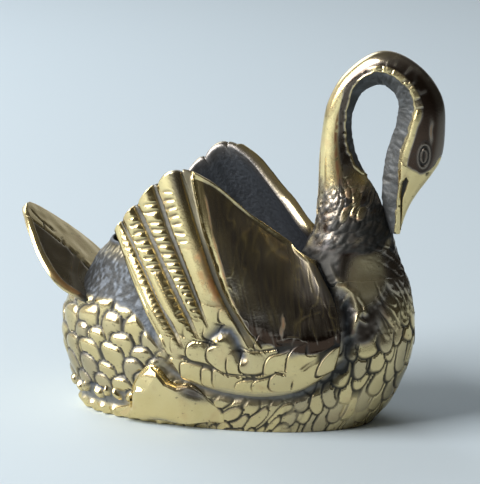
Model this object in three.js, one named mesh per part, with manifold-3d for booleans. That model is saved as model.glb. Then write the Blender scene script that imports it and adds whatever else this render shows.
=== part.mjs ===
// A cast brass swan whose hollow back is a pot for matches. Millimetres, +X towards the
// breast, +Y to the swan's left, +Z up, with the origin on the table under the middle.
// It is eight castings and plates brazed together, and nothing on it moves.
import * as THREE from "three";
import { mergeVertices } from "three/addons/utils/BufferGeometryUtils.js";
import Module from "manifold-3d";

const wasm = await Module();
wasm.setup();

// Driving dimensions

const BRAZE_GAP = 0.3; // filler between two castings
const BRASS = { color: 0xc9a95a, roughness: 0.28, metalness: 1 };

// The hull: half lengths and half width of the body at each height, as [height, size].
const BREAST_REACH = [
  [0, 25.2], [4, 28.6], [7.2, 30.2], [11.7, 32], [16.6, 32.9], [20.2, 32.8], [25, 31.9], [27, 31.2],
];
const RUMP_REACH = [
  [0, 28], [1.4, 29.2], [5, 30.9], [9.3, 32.2], [13.6, 33], [17.3, 32.8], [20, 31.8], [24, 28.8], [31, 25],
];
const FLANK_REACH = [[0, 13.6], [3, 14.7], [8, 15.5], [14, 15.6], [20, 15], [25, 14], [30, 13.2]];
const BREAST_PINCH = [[0, 0], [12, 0.02], [20, 0.14], [27, 0.28]]; // how far the plan narrows ahead
const RUMP_SQUARENESS = 0.84; // power that fills out the plan's rear corners, 1 for an oval
const CAVITY_FRONT = [[3.3, 23.5], [9, 28], [15, 29.3], [19, 27], [23, 20], [27, 12.6]];

const SHELL_WALL = 2;
const SHOULDER_HEIGHT = 27; // flat seat under the neck
const SIDE_RIM_HEIGHT = 18; // the shell stops here behind each wing
const BACK_RIM_HEIGHT = 31;
const SHOULDER_TURN = [43, 56]; // degrees from straight ahead where the seat falls to the side rim
const BACK_TURN = [98, 120]; // degrees where the side rim climbs to the back rim
const FOOT_RIM = 2.2; // flat ring that the swan stands on
const PLATE_RECESS = 1.1;
const PLATE_THICKNESS = 1.2;
const PLATE_LEDGE = 1;

// The wing's outline as seen from the side, [x, z], from its lowest rear point.
const WING_BOTTOM = [[-4.5, 9.3], [2, 7.8], [9.5, 7.3], [16, 8.6], [21.6, 12.4]];
const WING_REAR = [[-4.5, 9.3], [-8.7, 15.6], [-12.6, 21.4], [-16.4, 28], [-19.4, 34.2]];
const WING_FRONT = [[21.6, 12.4], [22.4, 16], [22.1, 20.4], [20.6, 25], [17, 30.6]];
const WING_TOP = [
  [-19.4, 34.2], [-15, 39.5], [-8.2, 46.1], [-2.7, 45.1], [4.4, 38], [10.8, 32.2], [17, 30.6],
];
const WING_TOP_WIDTH = [[0, 9.2], [0.2, 11.4], [0.36, 12.2], [0.5, 11.5], [0.68, 9.2], [0.86, 5.8], [1, 7.2]];
const WING_LEAN_HEIGHT = [[-15, 31], [-5, 18.4]]; // by x: above this the wing leaves the body
const WING_FAN = 0.13; // how far the feathers swing forwards towards their roots
const WING_THICKNESS = 1.5;
const WING_EDGE_THICKNESS = 0.6;
const WING_ROLL = 0.12; // share of the wing over which its lower edge rolls down
const RIB_EDGES = [0.02, 0.1, 0.19, 0.28, 0.4]; // shares of the wing between long feathers
const RIB_HEIGHT = 1;
const RIB_FOOT = [0.3, 0.46]; // shares of the wing's height where the long feathers fade out
const RIB_TIP_ROUND = 1.1;
const CREASE_SHARE = 0.468; // the thin raised line in front of the long feathers
const CREASE_HEIGHT = 0.6;

// The neck, arch, head and bill: [x, z, outward, inward, half width] along the casting,
// which starts on its seat on the shoulders.
const NECK = [
  [21, SHOULDER_HEIGHT + BRAZE_GAP, 8.7, 10.2, 8.6],
  [20.9, 31.5, 8.3, 8.5, 6.9],
  [20.6, 36, 6.2, 7.4, 5.3],
  [19.9, 41, 5, 6, 4.1],
  [19.2, 45, 4.1, 4.2, 3.3],
  [18.7, 49, 3.4, 3.1, 2.8],
  [18.6, 53, 2.8, 2.5, 2.5],
  [19.4, 57.2, 2.7, 2.1, 2.4],
  [21.6, 61.6, 2.3, 2.3, 2.4],
  [26.8, 64.3, 3.1, 3, 2.6],
  [31.2, 62.4, 3.3, 3.4, 2.7],
  [33.7, 58.4, 3.9, 4.3, 2.9],
  [33.8, 54, 4.2, 4.7, 3.2],
  [33.1, 50.2, 4.5, 5.1, 3.1],
  [32.1, 47, 3.8, 5, 2.6],
  [31.1, 43.8, 2.7, 4.4, 2],
  [30.3, 40.7, 1.7, 3.7, 1.6],
  [29.7, 37.7, 1.1, 2.6, 1.2],
  [29.4, 34.9, 0.7, 1.8, 0.8],
];
const ARCH_STATION = 9; // the top of the arch
// How far the inner side is a ridge, by share of the casting's length.
const KEEL = [[0, 0], [0.06, 0], [0.26, 0.7], [0.78, 0.7], [1, 0.3]];
const NECK_SPIGOT = { radius: 2.5, depth: 1.6, x: 24 };

// The tail fan: a plate from its root to its tip, and [share of length, half width] along it.
const TAIL_ROOT = [-25.3, 20.4];
const TAIL_TIP = [-40.6, 35.5];
const TAIL_WIDTH = [
  [0, 10], [0.08, 11.6], [0.3, 12.5], [0.53, 11], [0.75, 7.9], [0.91, 4.7], [0.97, 2.8], [1, 1.2],
];
const TAIL_THICKNESS = 1.4;
const TAIL_DROOP = 0.3; // how far the fan's sides fall below its middle
const TAIL_TENON = { halfWidth: 3.5, length: 3.2 };

// Each foot's upper outline on the flank, [x, z], and its lower edge.
const FOOT_OUTLINE = [[-19, 2], [-14.6, 4.4], [-11.4, 10.9], [-7.6, 9.8], [-3.4, 7.6], [2, 3]];
const FOOT_BOTTOM_HEIGHT = 1.2;
const FOOT_THICKNESS = 1.8;
const FOOT_EDGE_THICKNESS = 0.4;

// Facets
const TURNS = 72;
const FOOT_COLUMNS = 16;
const FOOT_ROWS = 6;
const WING_ROWS = 18;
const RINGS_PER_STATION = 3;
const RING_SIDES = 14;
const TAIL_COLUMNS = 12;
const TAIL_ROWS = 12;

// Curves and meshes

// A smooth single-valued curve through [position, value] pairs, level where they turn back.
function through(pairs) {
  const slope = (i) => {
    if (i < 0 || i + 1 >= pairs.length) return null;
    return (pairs[i + 1][1] - pairs[i][1]) / (pairs[i + 1][0] - pairs[i][0]);
  };
  const tangent = pairs.map((_, i) => {
    const before = slope(i - 1) ?? slope(i);
    const after = slope(i) ?? slope(i - 1);
    return before * after <= 0 ? 0 : (2 * before * after) / (before + after);
  });
  return (at) => {
    const last = pairs.length - 1;
    const x = THREE.MathUtils.clamp(at, pairs[0][0], pairs[last][0]);
    let i = 0;
    while (i < last - 1 && x > pairs[i + 1][0]) i += 1;
    const span = pairs[i + 1][0] - pairs[i][0];
    const t = (x - pairs[i][0]) / span;
    const rise = pairs[i + 1][1] - pairs[i][1];
    return (
      pairs[i][1] +
      rise * t * t * (3 - 2 * t) +
      span * t * (1 - t) * (tangent[i] * (1 - t) - tangent[i + 1] * t)
    );
  };
}

const outline = (points) => new THREE.SplineCurve(points.map(([x, z]) => new THREE.Vector2(x, z)));
const smooth = THREE.MathUtils.smoothstep;
const mix = THREE.MathUtils.lerp;

// A closed mesh over a grid of points. Rows close on themselves where `wrapped` says so, and
// columns either close too or end in a cap.
function gridGeometry(rows, { wrapColumns = false, capped = false } = {}) {
  const width = rows[0].length;
  const positions = rows.flat().flatMap((p) => [p.x, p.y, p.z]);
  const index = [];
  const at = (i, j) => (i % rows.length) * width + (j % width);
  const lastRow = wrapColumns ? rows.length : rows.length - 1;
  for (let i = 0; i < lastRow; i += 1) {
    for (let j = 0; j < width; j += 1) {
      index.push(at(i, j), at(i, j + 1), at(i + 1, j + 1));
      index.push(at(i, j), at(i + 1, j + 1), at(i + 1, j));
    }
  }
  if (capped) {
    for (const [row, flip] of [[0, true], [rows.length - 1, false]]) {
      const middle = new THREE.Vector3();
      rows[row].forEach((p) => middle.addScaledVector(p, 1 / width));
      const hub = positions.push(middle.x, middle.y, middle.z) / 3 - 1;
      for (let j = 0; j < width; j += 1) {
        const [a, b] = flip ? [at(row, j + 1), at(row, j)] : [at(row, j), at(row, j + 1)];
        index.push(a, b, hub);
      }
    }
  }
  return bufferGeometry(positions, index);
}

// A closed plate between two grids of points with the same outline.
function plateGeometry(outer, inner) {
  const rings = outer.map((row, i) => [...row, ...inner[i].slice().reverse()]);
  return gridGeometry(rings, { capped: true });
}

function bufferGeometry(positions, index) {
  const geometry = new THREE.BufferGeometry();
  geometry.setAttribute("position", new THREE.Float32BufferAttribute(positions, 3));
  geometry.setIndex(index);
  return geometry;
}

function solid(geometry) {
  const bare = new THREE.BufferGeometry();
  bare.setAttribute("position", geometry.getAttribute("position"));
  bare.setIndex(geometry.getIndex());
  const merged = mergeVertices(bare, 1e-4);
  const made = new wasm.Manifold(
    new wasm.Mesh({
      numProp: 3,
      vertProperties: merged.getAttribute("position").array,
      triVerts: new Uint32Array(merged.getIndex().array),
    }),
  );
  if (made.volume() >= 0) return made;
  return solid(insideOut(merged));
}

function insideOut(geometry) {
  const index = Array.from(geometry.getIndex().array);
  for (let i = 0; i < index.length; i += 3) [index[i + 1], index[i + 2]] = [index[i + 2], index[i + 1]];
  const turned = geometry.clone();
  turned.setIndex(index);
  return turned;
}

function geometryOf(manifold) {
  const mesh = manifold.getMesh();
  const positions = [];
  for (let i = 0; i < mesh.numVert; i += 1) {
    positions.push(...mesh.vertProperties.subarray(i * mesh.numProp, i * mesh.numProp + 3));
  }
  return bufferGeometry(positions, Array.from(mesh.triVerts));
}

function mirrored(geometry) {
  return insideOut(geometry.clone().scale(1, -1, 1));
}

// The hull of the body

const breastReach = through(BREAST_REACH);
const rumpReach = through(RUMP_REACH);
const flankReach = through(FLANK_REACH);
const breastPinch = through(BREAST_PINCH);
const cavityFront = through(CAVITY_FRONT);

// The plan narrows ahead of the flanks, most at the breast bone.
const pinch = (height, ahead) => 1 - breastPinch(height) * Math.max(0, ahead) ** 1.5;

const signedPower = (value, power) => Math.sign(value) * Math.abs(value) ** power;

function ovalPoint(turn, height, front, rear, half) {
  const ahead = Math.cos(turn);
  const aside = Math.sin(turn);
  if (ahead > 0) return new THREE.Vector3(front * ahead, half * aside * pinch(height, ahead), height);
  return new THREE.Vector3(
    rear * signedPower(ahead, RUMP_SQUARENESS),
    half * signedPower(aside, RUMP_SQUARENESS),
    height,
  );
}

const hullPoint = (turn, height, inset = 0) =>
  ovalPoint(turn, height, breastReach(height) - inset, rumpReach(height) - inset, flankReach(height) - inset);

// The hull's half width beside a point [x, z] of the side view.
function hullWidth(x, z) {
  const ahead = Math.min(0.999, Math.abs(x) / (x > 0 ? breastReach(z) : rumpReach(z)));
  if (x > 0) return flankReach(z) * Math.sqrt(1 - ahead * ahead) * pinch(z, ahead);
  return flankReach(z) * (1 - ahead ** (2 / RUMP_SQUARENESS)) ** (RUMP_SQUARENESS / 2);
}

function rimHeight(turn) {
  const degrees = Math.abs(THREE.MathUtils.radToDeg(turn));
  const toShoulder = (1 - smooth(degrees, ...SHOULDER_TURN)) * (SHOULDER_HEIGHT - SIDE_RIM_HEIGHT);
  const toBack = smooth(degrees, ...BACK_TURN) * (BACK_RIM_HEIGHT - SIDE_RIM_HEIGHT);
  return SIDE_RIM_HEIGHT + toShoulder + toBack;
}

const PLATE_SEAT = PLATE_RECESS + PLATE_THICKNESS + BRAZE_GAP;
const LEDGE_TOP = PLATE_SEAT + PLATE_LEDGE;
const CAVITY_START = LEDGE_TOP + SHELL_WALL;

function shellGeometry() {
  const outerShares = [0, 0.06, 0.14, 0.24, 0.35, 0.47, 0.59, 0.71, 0.82, 0.92, 1];
  const innerShares = [1, 0.86, 0.72, 0.57, 0.42, 0.27, 0.13, 0];
  const rows = [];
  for (let i = 0; i < TURNS; i += 1) {
    const turn = (i / TURNS) * 2 * Math.PI - Math.PI;
    const rim = rimHeight(turn);
    const cavity = (height) =>
      ovalPoint(
        turn,
        height,
        Math.min(cavityFront(height), breastReach(height) - SHELL_WALL),
        rumpReach(height) - SHELL_WALL,
        flankReach(height) - SHELL_WALL,
      );
    const base = (height, inset) => hullPoint(turn, 0, inset).setZ(height);
    rows.push([
      ...outerShares.map((share) => hullPoint(turn, rim * share)),
      ...innerShares.map((share) => cavity(mix(CAVITY_START, rim, share))),
      base(LEDGE_TOP, FOOT_RIM + PLATE_LEDGE),
      base(PLATE_SEAT, FOOT_RIM + PLATE_LEDGE),
      base(PLATE_SEAT, FOOT_RIM),
      base(0, FOOT_RIM),
    ]);
  }
  return gridGeometry(rows, { wrapColumns: true });
}

function basePlateGeometry() {
  const edge = [];
  for (let i = 0; i < TURNS; i += 1) {
    const p = hullPoint((i / TURNS) * 2 * Math.PI - Math.PI, 0, FOOT_RIM + BRAZE_GAP);
    edge.push(new THREE.Vector2(p.x, p.y));
  }
  const flat = { depth: PLATE_THICKNESS, bevelEnabled: false };
  const plate = new THREE.ExtrudeGeometry(new THREE.Shape(edge), flat);
  return plate.translate(0, 0, PLATE_RECESS);
}

// Wings

const wingBottom = outline(WING_BOTTOM);
const wingTop = outline(WING_TOP);
const wingRear = outline(WING_REAR);
const wingFront = outline(WING_FRONT);
const wingTopWidth = through(WING_TOP_WIDTH);
const wingLeanHeight = through(WING_LEAN_HEIGHT);

// The rib that a share of the wing's length falls in, and how far across it, from -1 to 1.
function ribAcross(along) {
  for (let i = 0; i + 1 < RIB_EDGES.length; i += 1) {
    if (along >= RIB_EDGES[i] && along <= RIB_EDGES[i + 1]) {
      return (2 * (along - RIB_EDGES[i])) / (RIB_EDGES[i + 1] - RIB_EDGES[i]) - 1;
    }
  }
  return null;
}

const roundTop = (across) => Math.sqrt(Math.max(0, 1 - across * across));

// A point of the wing's outline patch in the side view: `along` from the rear edge to the
// front one, `up` from the lower edge to the rim.
function wingSide(share, up) {
  const along = share + WING_FAN * (1 - up) * Math.sin(Math.PI * share) ** 2;
  const b = wingBottom.getPoint(along);
  const t = wingTop.getPoint(along);
  const r = wingRear.getPoint(up);
  const f = wingFront.getPoint(up);
  const corner = (k) => {
    const low = mix(WING_BOTTOM[0][k], WING_BOTTOM.at(-1)[k], along);
    const high = mix(WING_TOP[0][k], WING_TOP.at(-1)[k], along);
    return mix(low, high, up);
  };
  const across = ribAcross(share);
  const tip = across === null ? 0 : RIB_TIP_ROUND * (roundTop(across) - 1) * smooth(up, 0.8, 1);
  return [
    mix(b.x, t.x, up) + mix(r.x, f.x, along) - corner(0),
    mix(b.y, t.y, up) + mix(r.y, f.y, along) - corner(1) + tip,
  ];
}

function wingInner(along, up) {
  const [x, z] = wingSide(along, up);
  const top = wingTop.getPoint(along).y;
  const start = wingLeanHeight(x);
  const lean = THREE.MathUtils.clamp((z - start) / (top - start), 0, 1) ** 1.3;
  const onBody = hullWidth(x, Math.min(z, start)) + BRAZE_GAP;
  return new THREE.Vector3(x, mix(onBody, wingTopWidth(along), lean), z);
}

function wingThickness(along, up) {
  const across = ribAcross(along);
  const long = smooth(up, ...RIB_FOOT);
  const rib = across === null ? 0 : RIB_HEIGHT * roundTop(across) * long;
  const crease = CREASE_HEIGHT * Math.exp(-(((along - CREASE_SHARE) / 0.016) ** 2)) * long;
  const covert = 0.5 * (1 - long);
  const roll = Math.min(
    smooth(up, 0, WING_ROLL),
    smooth(along, -0.01, 0.03),
    smooth(1 - along, -0.01, 0.06),
  );
  return mix(WING_EDGE_THICKNESS, WING_THICKNESS + rib + crease + covert, Math.sqrt(roll));
}

// Pushes a grid function outwards along its own normal.
function raised(point, thickness) {
  const step = 0.004;
  return (u, v) => {
    const nearer = (w) => (w + step > 1 ? -step : step);
    const du = point(u + nearer(u), v).sub(point(u, v)).multiplyScalar(Math.sign(nearer(u)));
    const dv = point(u, v + nearer(v)).sub(point(u, v)).multiplyScalar(Math.sign(nearer(v)));
    const normal = du.cross(dv).normalize();
    if (normal.y < 0) normal.negate();
    return point(u, v).addScaledVector(normal, thickness(u, v));
  };
}

function wingColumns() {
  const columns = [0];
  for (let i = 0; i + 1 < RIB_EDGES.length; i += 1) {
    for (const share of [0, 0.1, 0.3, 0.7, 0.9]) columns.push(mix(RIB_EDGES[i], RIB_EDGES[i + 1], share));
  }
  columns.push(RIB_EDGES.at(-1), CREASE_SHARE - 0.02, CREASE_SHARE, CREASE_SHARE + 0.02);
  for (let share = 0.52; share < 0.93; share += 0.08) columns.push(share);
  return [...columns, 0.96, 1];
}

function wingGeometry() {
  const outerPoint = raised(wingInner, wingThickness);
  const outer = [];
  const inner = [];
  for (const along of wingColumns()) {
    const shares = Array.from({ length: WING_ROWS + 1 }, (_, j) => j / WING_ROWS);
    outer.push(shares.map((up) => outerPoint(along, up)));
    inner.push(shares.map((up) => wingInner(along, up)));
  }
  return plateGeometry(outer, inner);
}

// Neck, head and bill

const keel = through(KEEL);

// Rings carried along the stations, from the root to the tip of the bill. The outward side
// is round, and the inward side narrows to a ridge by `keel`.
function neckRings(grow = 0) {
  const path = new THREE.CatmullRomCurve3(NECK.map(([x, z]) => new THREE.Vector3(x, 0, z)));
  const sizes = new THREE.CatmullRomCurve3(
    NECK.map(([, , outward, inward, half]) => new THREE.Vector3(outward, inward, half)),
  );
  const count = RINGS_PER_STATION * (NECK.length - 1);
  return Array.from({ length: count + 1 }, (_, i) => {
    const at = i / count;
    const middle = path.getPoint(at);
    const tangent = path.getTangent(at);
    const outwardWay = new THREE.Vector3(-tangent.z, 0, tangent.x);
    const size = sizes.getPoint(at).addScalar(grow);
    return Array.from({ length: RING_SIDES }, (__, j) => {
      const angle = (j / RING_SIDES) * 2 * Math.PI;
      const c = Math.cos(angle);
      const s = Math.sin(angle);
      const reach = c > 0 ? c * size.x : mix(c, Math.abs(s) - 1, keel(at)) * size.y;
      return middle.clone().addScaledVector(outwardWay, reach).setY(s * size.z);
    });
  });
}

// The bill comes back down to the neck, so the casting is joined from two runs of rings.
function neckSweep(grow) {
  const rings = neckRings(grow);
  const top = ARCH_STATION * RINGS_PER_STATION;
  const up = solid(gridGeometry(rings.slice(0, top + 1), { capped: true }));
  const down = solid(gridGeometry(rings.slice(top), { capped: true }));
  return up.add(down);
}

function spigot(grow = 0) {
  const { radius, depth, x } = NECK_SPIGOT;
  const reach = depth + 2 * BRAZE_GAP;
  const rod = new THREE.CylinderGeometry(radius + grow, radius + grow, reach + grow, 24);
  const middle = SHOULDER_HEIGHT + 2 * BRAZE_GAP - (reach + grow) / 2;
  return solid(rod.rotateX(Math.PI / 2).translate(x, 0, middle));
}

function neckSolid() {
  return neckSweep(0).trimByPlane([0, 0, 1], SHOULDER_HEIGHT + BRAZE_GAP).add(spigot());
}

// Tail

const tailWidth = through(TAIL_WIDTH);

function tailPoint(along, across, lift) {
  const slope = Math.atan2(TAIL_TIP[1] - TAIL_ROOT[1], TAIL_TIP[0] - TAIL_ROOT[0]);
  const rise = lift - TAIL_DROOP * across * across;
  return new THREE.Vector3(
    mix(TAIL_ROOT[0], TAIL_TIP[0], along) + rise * Math.sin(slope),
    across * tailWidth(along),
    mix(TAIL_ROOT[1], TAIL_TIP[1], along) - rise * Math.cos(slope),
  );
}

function tailGeometry() {
  const top = [];
  const under = [];
  for (let i = 0; i <= TAIL_ROWS; i += 1) {
    const across = Array.from({ length: TAIL_COLUMNS + 1 }, (_, j) => (2 * j) / TAIL_COLUMNS - 1);
    top.push(across.map((a) => tailPoint(i / TAIL_ROWS, a, TAIL_THICKNESS / 2)));
    under.push(across.map((a) => tailPoint(i / TAIL_ROWS, a, -TAIL_THICKNESS / 2)));
  }
  return plateGeometry(top, under);
}

function tailTenon(grow = 0) {
  const { halfWidth, length } = TAIL_TENON;
  const slope = Math.atan2(TAIL_TIP[1] - TAIL_ROOT[1], TAIL_ROOT[0] - TAIL_TIP[0]);
  const bar = new THREE.BoxGeometry(length * 2, (halfWidth + grow) * 2, TAIL_THICKNESS + 2 * grow);
  const inwards = length - 0.5;
  const x = TAIL_ROOT[0] - inwards * Math.cos(slope);
  const z = TAIL_ROOT[1] + inwards * Math.sin(slope);
  return solid(bar.rotateY(slope).translate(x, 0, z));
}

// Feet

const footOutline = outline(FOOT_OUTLINE);

function footInner(along, up) {
  const top = footOutline.getPoint(along);
  const z = mix(FOOT_BOTTOM_HEIGHT, top.y, up);
  return new THREE.Vector3(top.x, hullWidth(top.x, z) + BRAZE_GAP, z);
}

function footThickness(along, up) {
  const rise = smooth(along, 0, 0.2) * smooth(1 - along, 0, 0.2) * (1 - smooth(up, 0.82, 1));
  return mix(FOOT_EDGE_THICKNESS, FOOT_THICKNESS, Math.sqrt(rise));
}

function footGeometry() {
  const outerPoint = raised(footInner, footThickness);
  const outer = [];
  const inner = [];
  for (let i = 0; i <= FOOT_COLUMNS; i += 1) {
    const shares = Array.from({ length: FOOT_ROWS + 1 }, (_, j) => j / FOOT_ROWS);
    outer.push(shares.map((up) => outerPoint(i / FOOT_COLUMNS, up)));
    inner.push(shares.map((up) => footInner(i / FOOT_COLUMNS, up)));
  }
  return plateGeometry(outer, inner);
}

// Assembly

const shellOuter = () => {
  const rows = [];
  for (let k = 0; k <= 20; k += 1) {
    const height = (k / 20) * BACK_RIM_HEIGHT;
    const turns = Array.from({ length: TURNS }, (_, i) => (i / TURNS) * 2 * Math.PI - Math.PI);
    rows.push(turns.map((turn) => hullPoint(turn, height, -BRAZE_GAP)));
  }
  return solid(gridGeometry(rows, { capped: true }));
};

const wing = solid(wingGeometry()).subtract(neckSweep(BRAZE_GAP));
const tail = solid(tailGeometry()).subtract(shellOuter()).add(tailTenon());
const shell = solid(shellGeometry()).subtract(spigot(BRAZE_GAP)).subtract(tailTenon(BRAZE_GAP));

const swan = new THREE.Group();

function place(name, geometry) {
  geometry.computeVertexNormals();
  const mesh = new THREE.Mesh(geometry, new THREE.MeshStandardMaterial(BRASS));
  mesh.name = name;
  swan.add(mesh);
}

place("body_shell", geometryOf(shell));
place("base_plate", geometryOf(solid(basePlateGeometry())));
place("left_wing", geometryOf(wing));
place("right_wing", mirrored(geometryOf(wing)));
place("neck_and_head", geometryOf(neckSolid()));
place("tail_fan", geometryOf(tail));
place("left_foot", geometryOf(solid(footGeometry())));
place("right_foot", mirrored(geometryOf(solid(footGeometry()))));

// The origin goes under the middle of the whole swan.
const box = new THREE.Box3().setFromObject(swan);
swan.position.x = -(box.min.x + box.max.x) / 2;

export default swan;
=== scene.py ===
# A cast brass swan whose hollow back holds matches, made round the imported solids.
# Lengths in the sections are millimetres in the maker's own frame: +X towards the breast,
# +Y to the swan's left, +Z up, zero on the table under the body.
import bpy
import numpy as np
from mathutils import Matrix, Vector


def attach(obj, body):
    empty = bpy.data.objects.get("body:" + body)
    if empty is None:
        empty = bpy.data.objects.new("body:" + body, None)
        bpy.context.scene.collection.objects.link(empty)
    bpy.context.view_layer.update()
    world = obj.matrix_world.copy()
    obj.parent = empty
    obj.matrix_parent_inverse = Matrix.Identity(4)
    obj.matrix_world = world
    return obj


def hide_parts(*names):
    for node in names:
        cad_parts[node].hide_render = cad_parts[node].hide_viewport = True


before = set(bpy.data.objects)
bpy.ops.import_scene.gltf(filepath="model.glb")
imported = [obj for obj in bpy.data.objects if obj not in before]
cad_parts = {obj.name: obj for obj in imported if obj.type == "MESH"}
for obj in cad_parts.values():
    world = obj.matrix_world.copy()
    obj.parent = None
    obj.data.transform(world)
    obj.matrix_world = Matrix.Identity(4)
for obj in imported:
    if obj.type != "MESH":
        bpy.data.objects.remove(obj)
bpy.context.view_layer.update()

# The body
# One hollow sand casting in yellow brass, open on top as the pot for the matches. Scales and
# feathers were cut in the pattern, and the high places were filed and buffed after casting.
TO_MIDDLE = 1.646  # the maker's zero lies this far behind the middle of the whole swan
BREAST_REACH = [
    [0, 25.2], [4, 28.6], [7.2, 30.2], [11.7, 32], [16.6, 32.9], [20.2, 32.8], [25, 31.9], [27.3, 31.08]]
RUMP_REACH = [
    [0, 28], [1.4, 29.2], [5, 30.9], [9.3, 32.2], [13.6, 33], [17.3, 32.8], [20, 31.8], [24, 28.8],
    [31, 25]]
FLANK_REACH = [[0, 13.6], [3, 14.7], [8, 15.5], [14, 15.6], [20, 15], [25, 14], [30, 13.2]]
BREAST_PINCH = [[0, 0], [12, 0.02], [20, 0.14], [27, 0.28]]
RUMP_SQUARENESS = 0.84
CAVITY_FRONT = [[3.3, 23.5], [9, 28], [15, 29.3], [19, 27], [23, 20], [27, 12.6]]
SHELL_WALL = 2
SIDE_RIM, SHOULDER, BACK_RIM = 18, 27.3, 31


def smooth(value, low, high):
    """0 below low, 1 above high, and 3t^2 - 2t^3 between."""
    t = np.clip((value - low) / (high - low), 0, 1)
    return t * t * (3 - 2 * t)


def fade(value, low, high):
    """1 below low, 0 above high: what smooth leaves of 1."""
    return 1 - smooth(value, low, high)


def bell(value, width, other=0, reach=1):
    """A bump of height 1 where value and other are 0: e to the power of minus the sum of the
    squares of value over width and other over reach."""
    return np.exp(-(value / width) ** 2 - (other / reach) ** 2)


def through(pairs, place):
    """A smooth curve through [place, value] pairs: a cubic between each two whose slope at a
    pair is the harmonic mean of the slopes beside it, and level where they turn back."""
    x, y = np.array(pairs, float).T
    slope = np.diff(y) / np.diff(x)
    before, after = np.r_[slope[0], slope], np.r_[slope, slope[-1]]
    same = before * after > 0
    tangent = np.where(same, 2 * before * after / np.where(same, before + after, 1), 0)
    place = np.clip(place, x[0], x[-1])
    i = np.clip(np.searchsorted(x, place, side="right") - 1, 0, len(x) - 2)
    span, rise = x[i + 1] - x[i], y[i + 1] - y[i]
    t = (place - x[i]) / span
    bow = span * t * (1 - t) * (tangent[i] * (1 - t) - tangent[i + 1] * t)
    return y[i] + rise * t * t * (3 - 2 * t) + bow


def chance(a, b, seed):
    """A number from 0 to 1 for each pair of whole numbers: the fraction of a large sine."""
    return np.mod(np.sin(a * 127.1 + b * 311.7 + seed * 74.7) * 43758.5453, 1.0)


def mottle(x, y, size, seed):
    """Smooth noise from -1 to 1: chance numbers on a square net `size` apart, blended with a
    smoothstep between the four nearest."""
    x, y = x / size, y / size
    i, j = np.floor(x), np.floor(y)
    u, v = smooth(x - i, 0, 1), smooth(y - j, 0, 1)
    low = chance(i, j, seed) * (1 - u) + chance(i + 1, j, seed) * u
    high = chance(i, j + 1, seed) * (1 - u) + chance(i + 1, j + 1, seed) * u
    return 2 * (low * (1 - v) + high * v) - 1


def scales(across, along, width, length, lap, seed, wander, square=2.4, shift=0.5, round_root=0):
    """Feathers laid like roof tiles with their tips towards +along. Rows stand `length` apart,
    every second one `shift` widths over. Each feather is where |across|^square + |along|^2.2 < 1
    about its own centre, moved and sized by chance by the share `wander`. The tip reaches `lap`
    lengths past its row, and behind the centre `along` counts by the share `round_root`. Each row
    covers the roots of the next. Returns how far the feather has risen towards its tip (0.6 to
    1), how many mm in from its edge the place is, and its chance number."""
    rise = np.zeros_like(across)
    inwards = np.zeros_like(across)
    tone = np.zeros_like(across)
    own = np.floor(along / length)
    for back in (1, 0, -1):
        row = own + back
        start = np.floor(across / width - shift * np.mod(row, 2))
        for beside in (0, 1, -1):
            column = start + beside
            luck = chance(column, row, seed)
            other = chance(row, column, seed + 3)
            middle = (column + 0.5 + shift * np.mod(row, 2) + wander * (luck - 0.5)) * width
            root = (row + 0.5 + wander * (other - 0.5)) * length
            half = width * (0.5 + 0.3 * wander * (other - 0.5))
            tip = length * (0.5 + lap + wander * (luck - 0.5))
            u = np.abs(across - middle) / half
            v = (along - root) / tip
            off = np.where(v > 0, v, -v * round_root)
            inside = 1 - u ** square - off ** 2.2
            steep = np.hypot(square * u ** (square - 1) / half, 2.2 * off ** 1.2 / tip)
            shown = (inside > 0) & (v > -1.6)
            risen = np.clip((v * tip + 0.5 * length) / (length + tip), 0, 1)
            rise = np.where(shown, 0.6 + 0.4 * risen, rise)
            inwards = np.where(shown, np.minimum(inside / np.maximum(steep, 0.02), 8), inwards)
            tone = np.where(shown, luck, tone)
    return rise, inwards, tone


def from_line(x, z, points):
    """How far each place lies from a run of straight lines through points: the least of its
    distances to them."""
    least = np.full(np.broadcast(x, z).shape, 99.0)
    for (x0, z0), (x1, z1) in zip(points, points[1:]):
        dx, dz = x1 - x0, z1 - z0
        t = np.clip(((x - x0) * dx + (z - z0) * dz) / (dx * dx + dz * dz), 0, 1)
        least = np.minimum(least, np.hypot(x - x0 - t * dx, z - z0 - t * dz))
    return least


def oval(turn, height, front, rear, half):
    """A plan at each height: an ellipse ahead, narrowed towards the breast bone, and behind a
    fuller oval whose cosine and sine are raised to the power RUMP_SQUARENESS."""
    c, s = np.cos(turn), np.sin(turn)
    pinch = 1 - through(BREAST_PINCH, height) * np.maximum(c, 0) ** 1.5
    x = np.where(c > 0, front * c, -rear * np.abs(c) ** RUMP_SQUARENESS)
    y = half * np.where(c > 0, s * pinch, np.sign(s) * np.abs(s) ** RUMP_SQUARENESS)
    return np.stack([x, y, height + 0 * x], -1)


def hull(turn, height, inset=0):
    """The outside of the body at an angle round it (0 ahead) and a height."""
    return oval(turn, height, through(BREAST_REACH, height) - inset,
                through(RUMP_REACH, height) - inset, through(FLANK_REACH, height) - inset)


def hull_width(x, z):
    """Half the body's width beside the point (x, z) of the side view."""
    ahead = np.minimum(0.999, np.abs(x) / np.where(x > 0, through(BREAST_REACH, z), through(RUMP_REACH, z)))
    pinch = 1 - through(BREAST_PINCH, z) * ahead ** 1.5
    square = (1 - ahead ** (2 / RUMP_SQUARENESS)) ** (RUMP_SQUARENESS / 2)
    return through(FLANK_REACH, z) * np.where(x > 0, np.sqrt(1 - ahead ** 2) * pinch, square)


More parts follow.
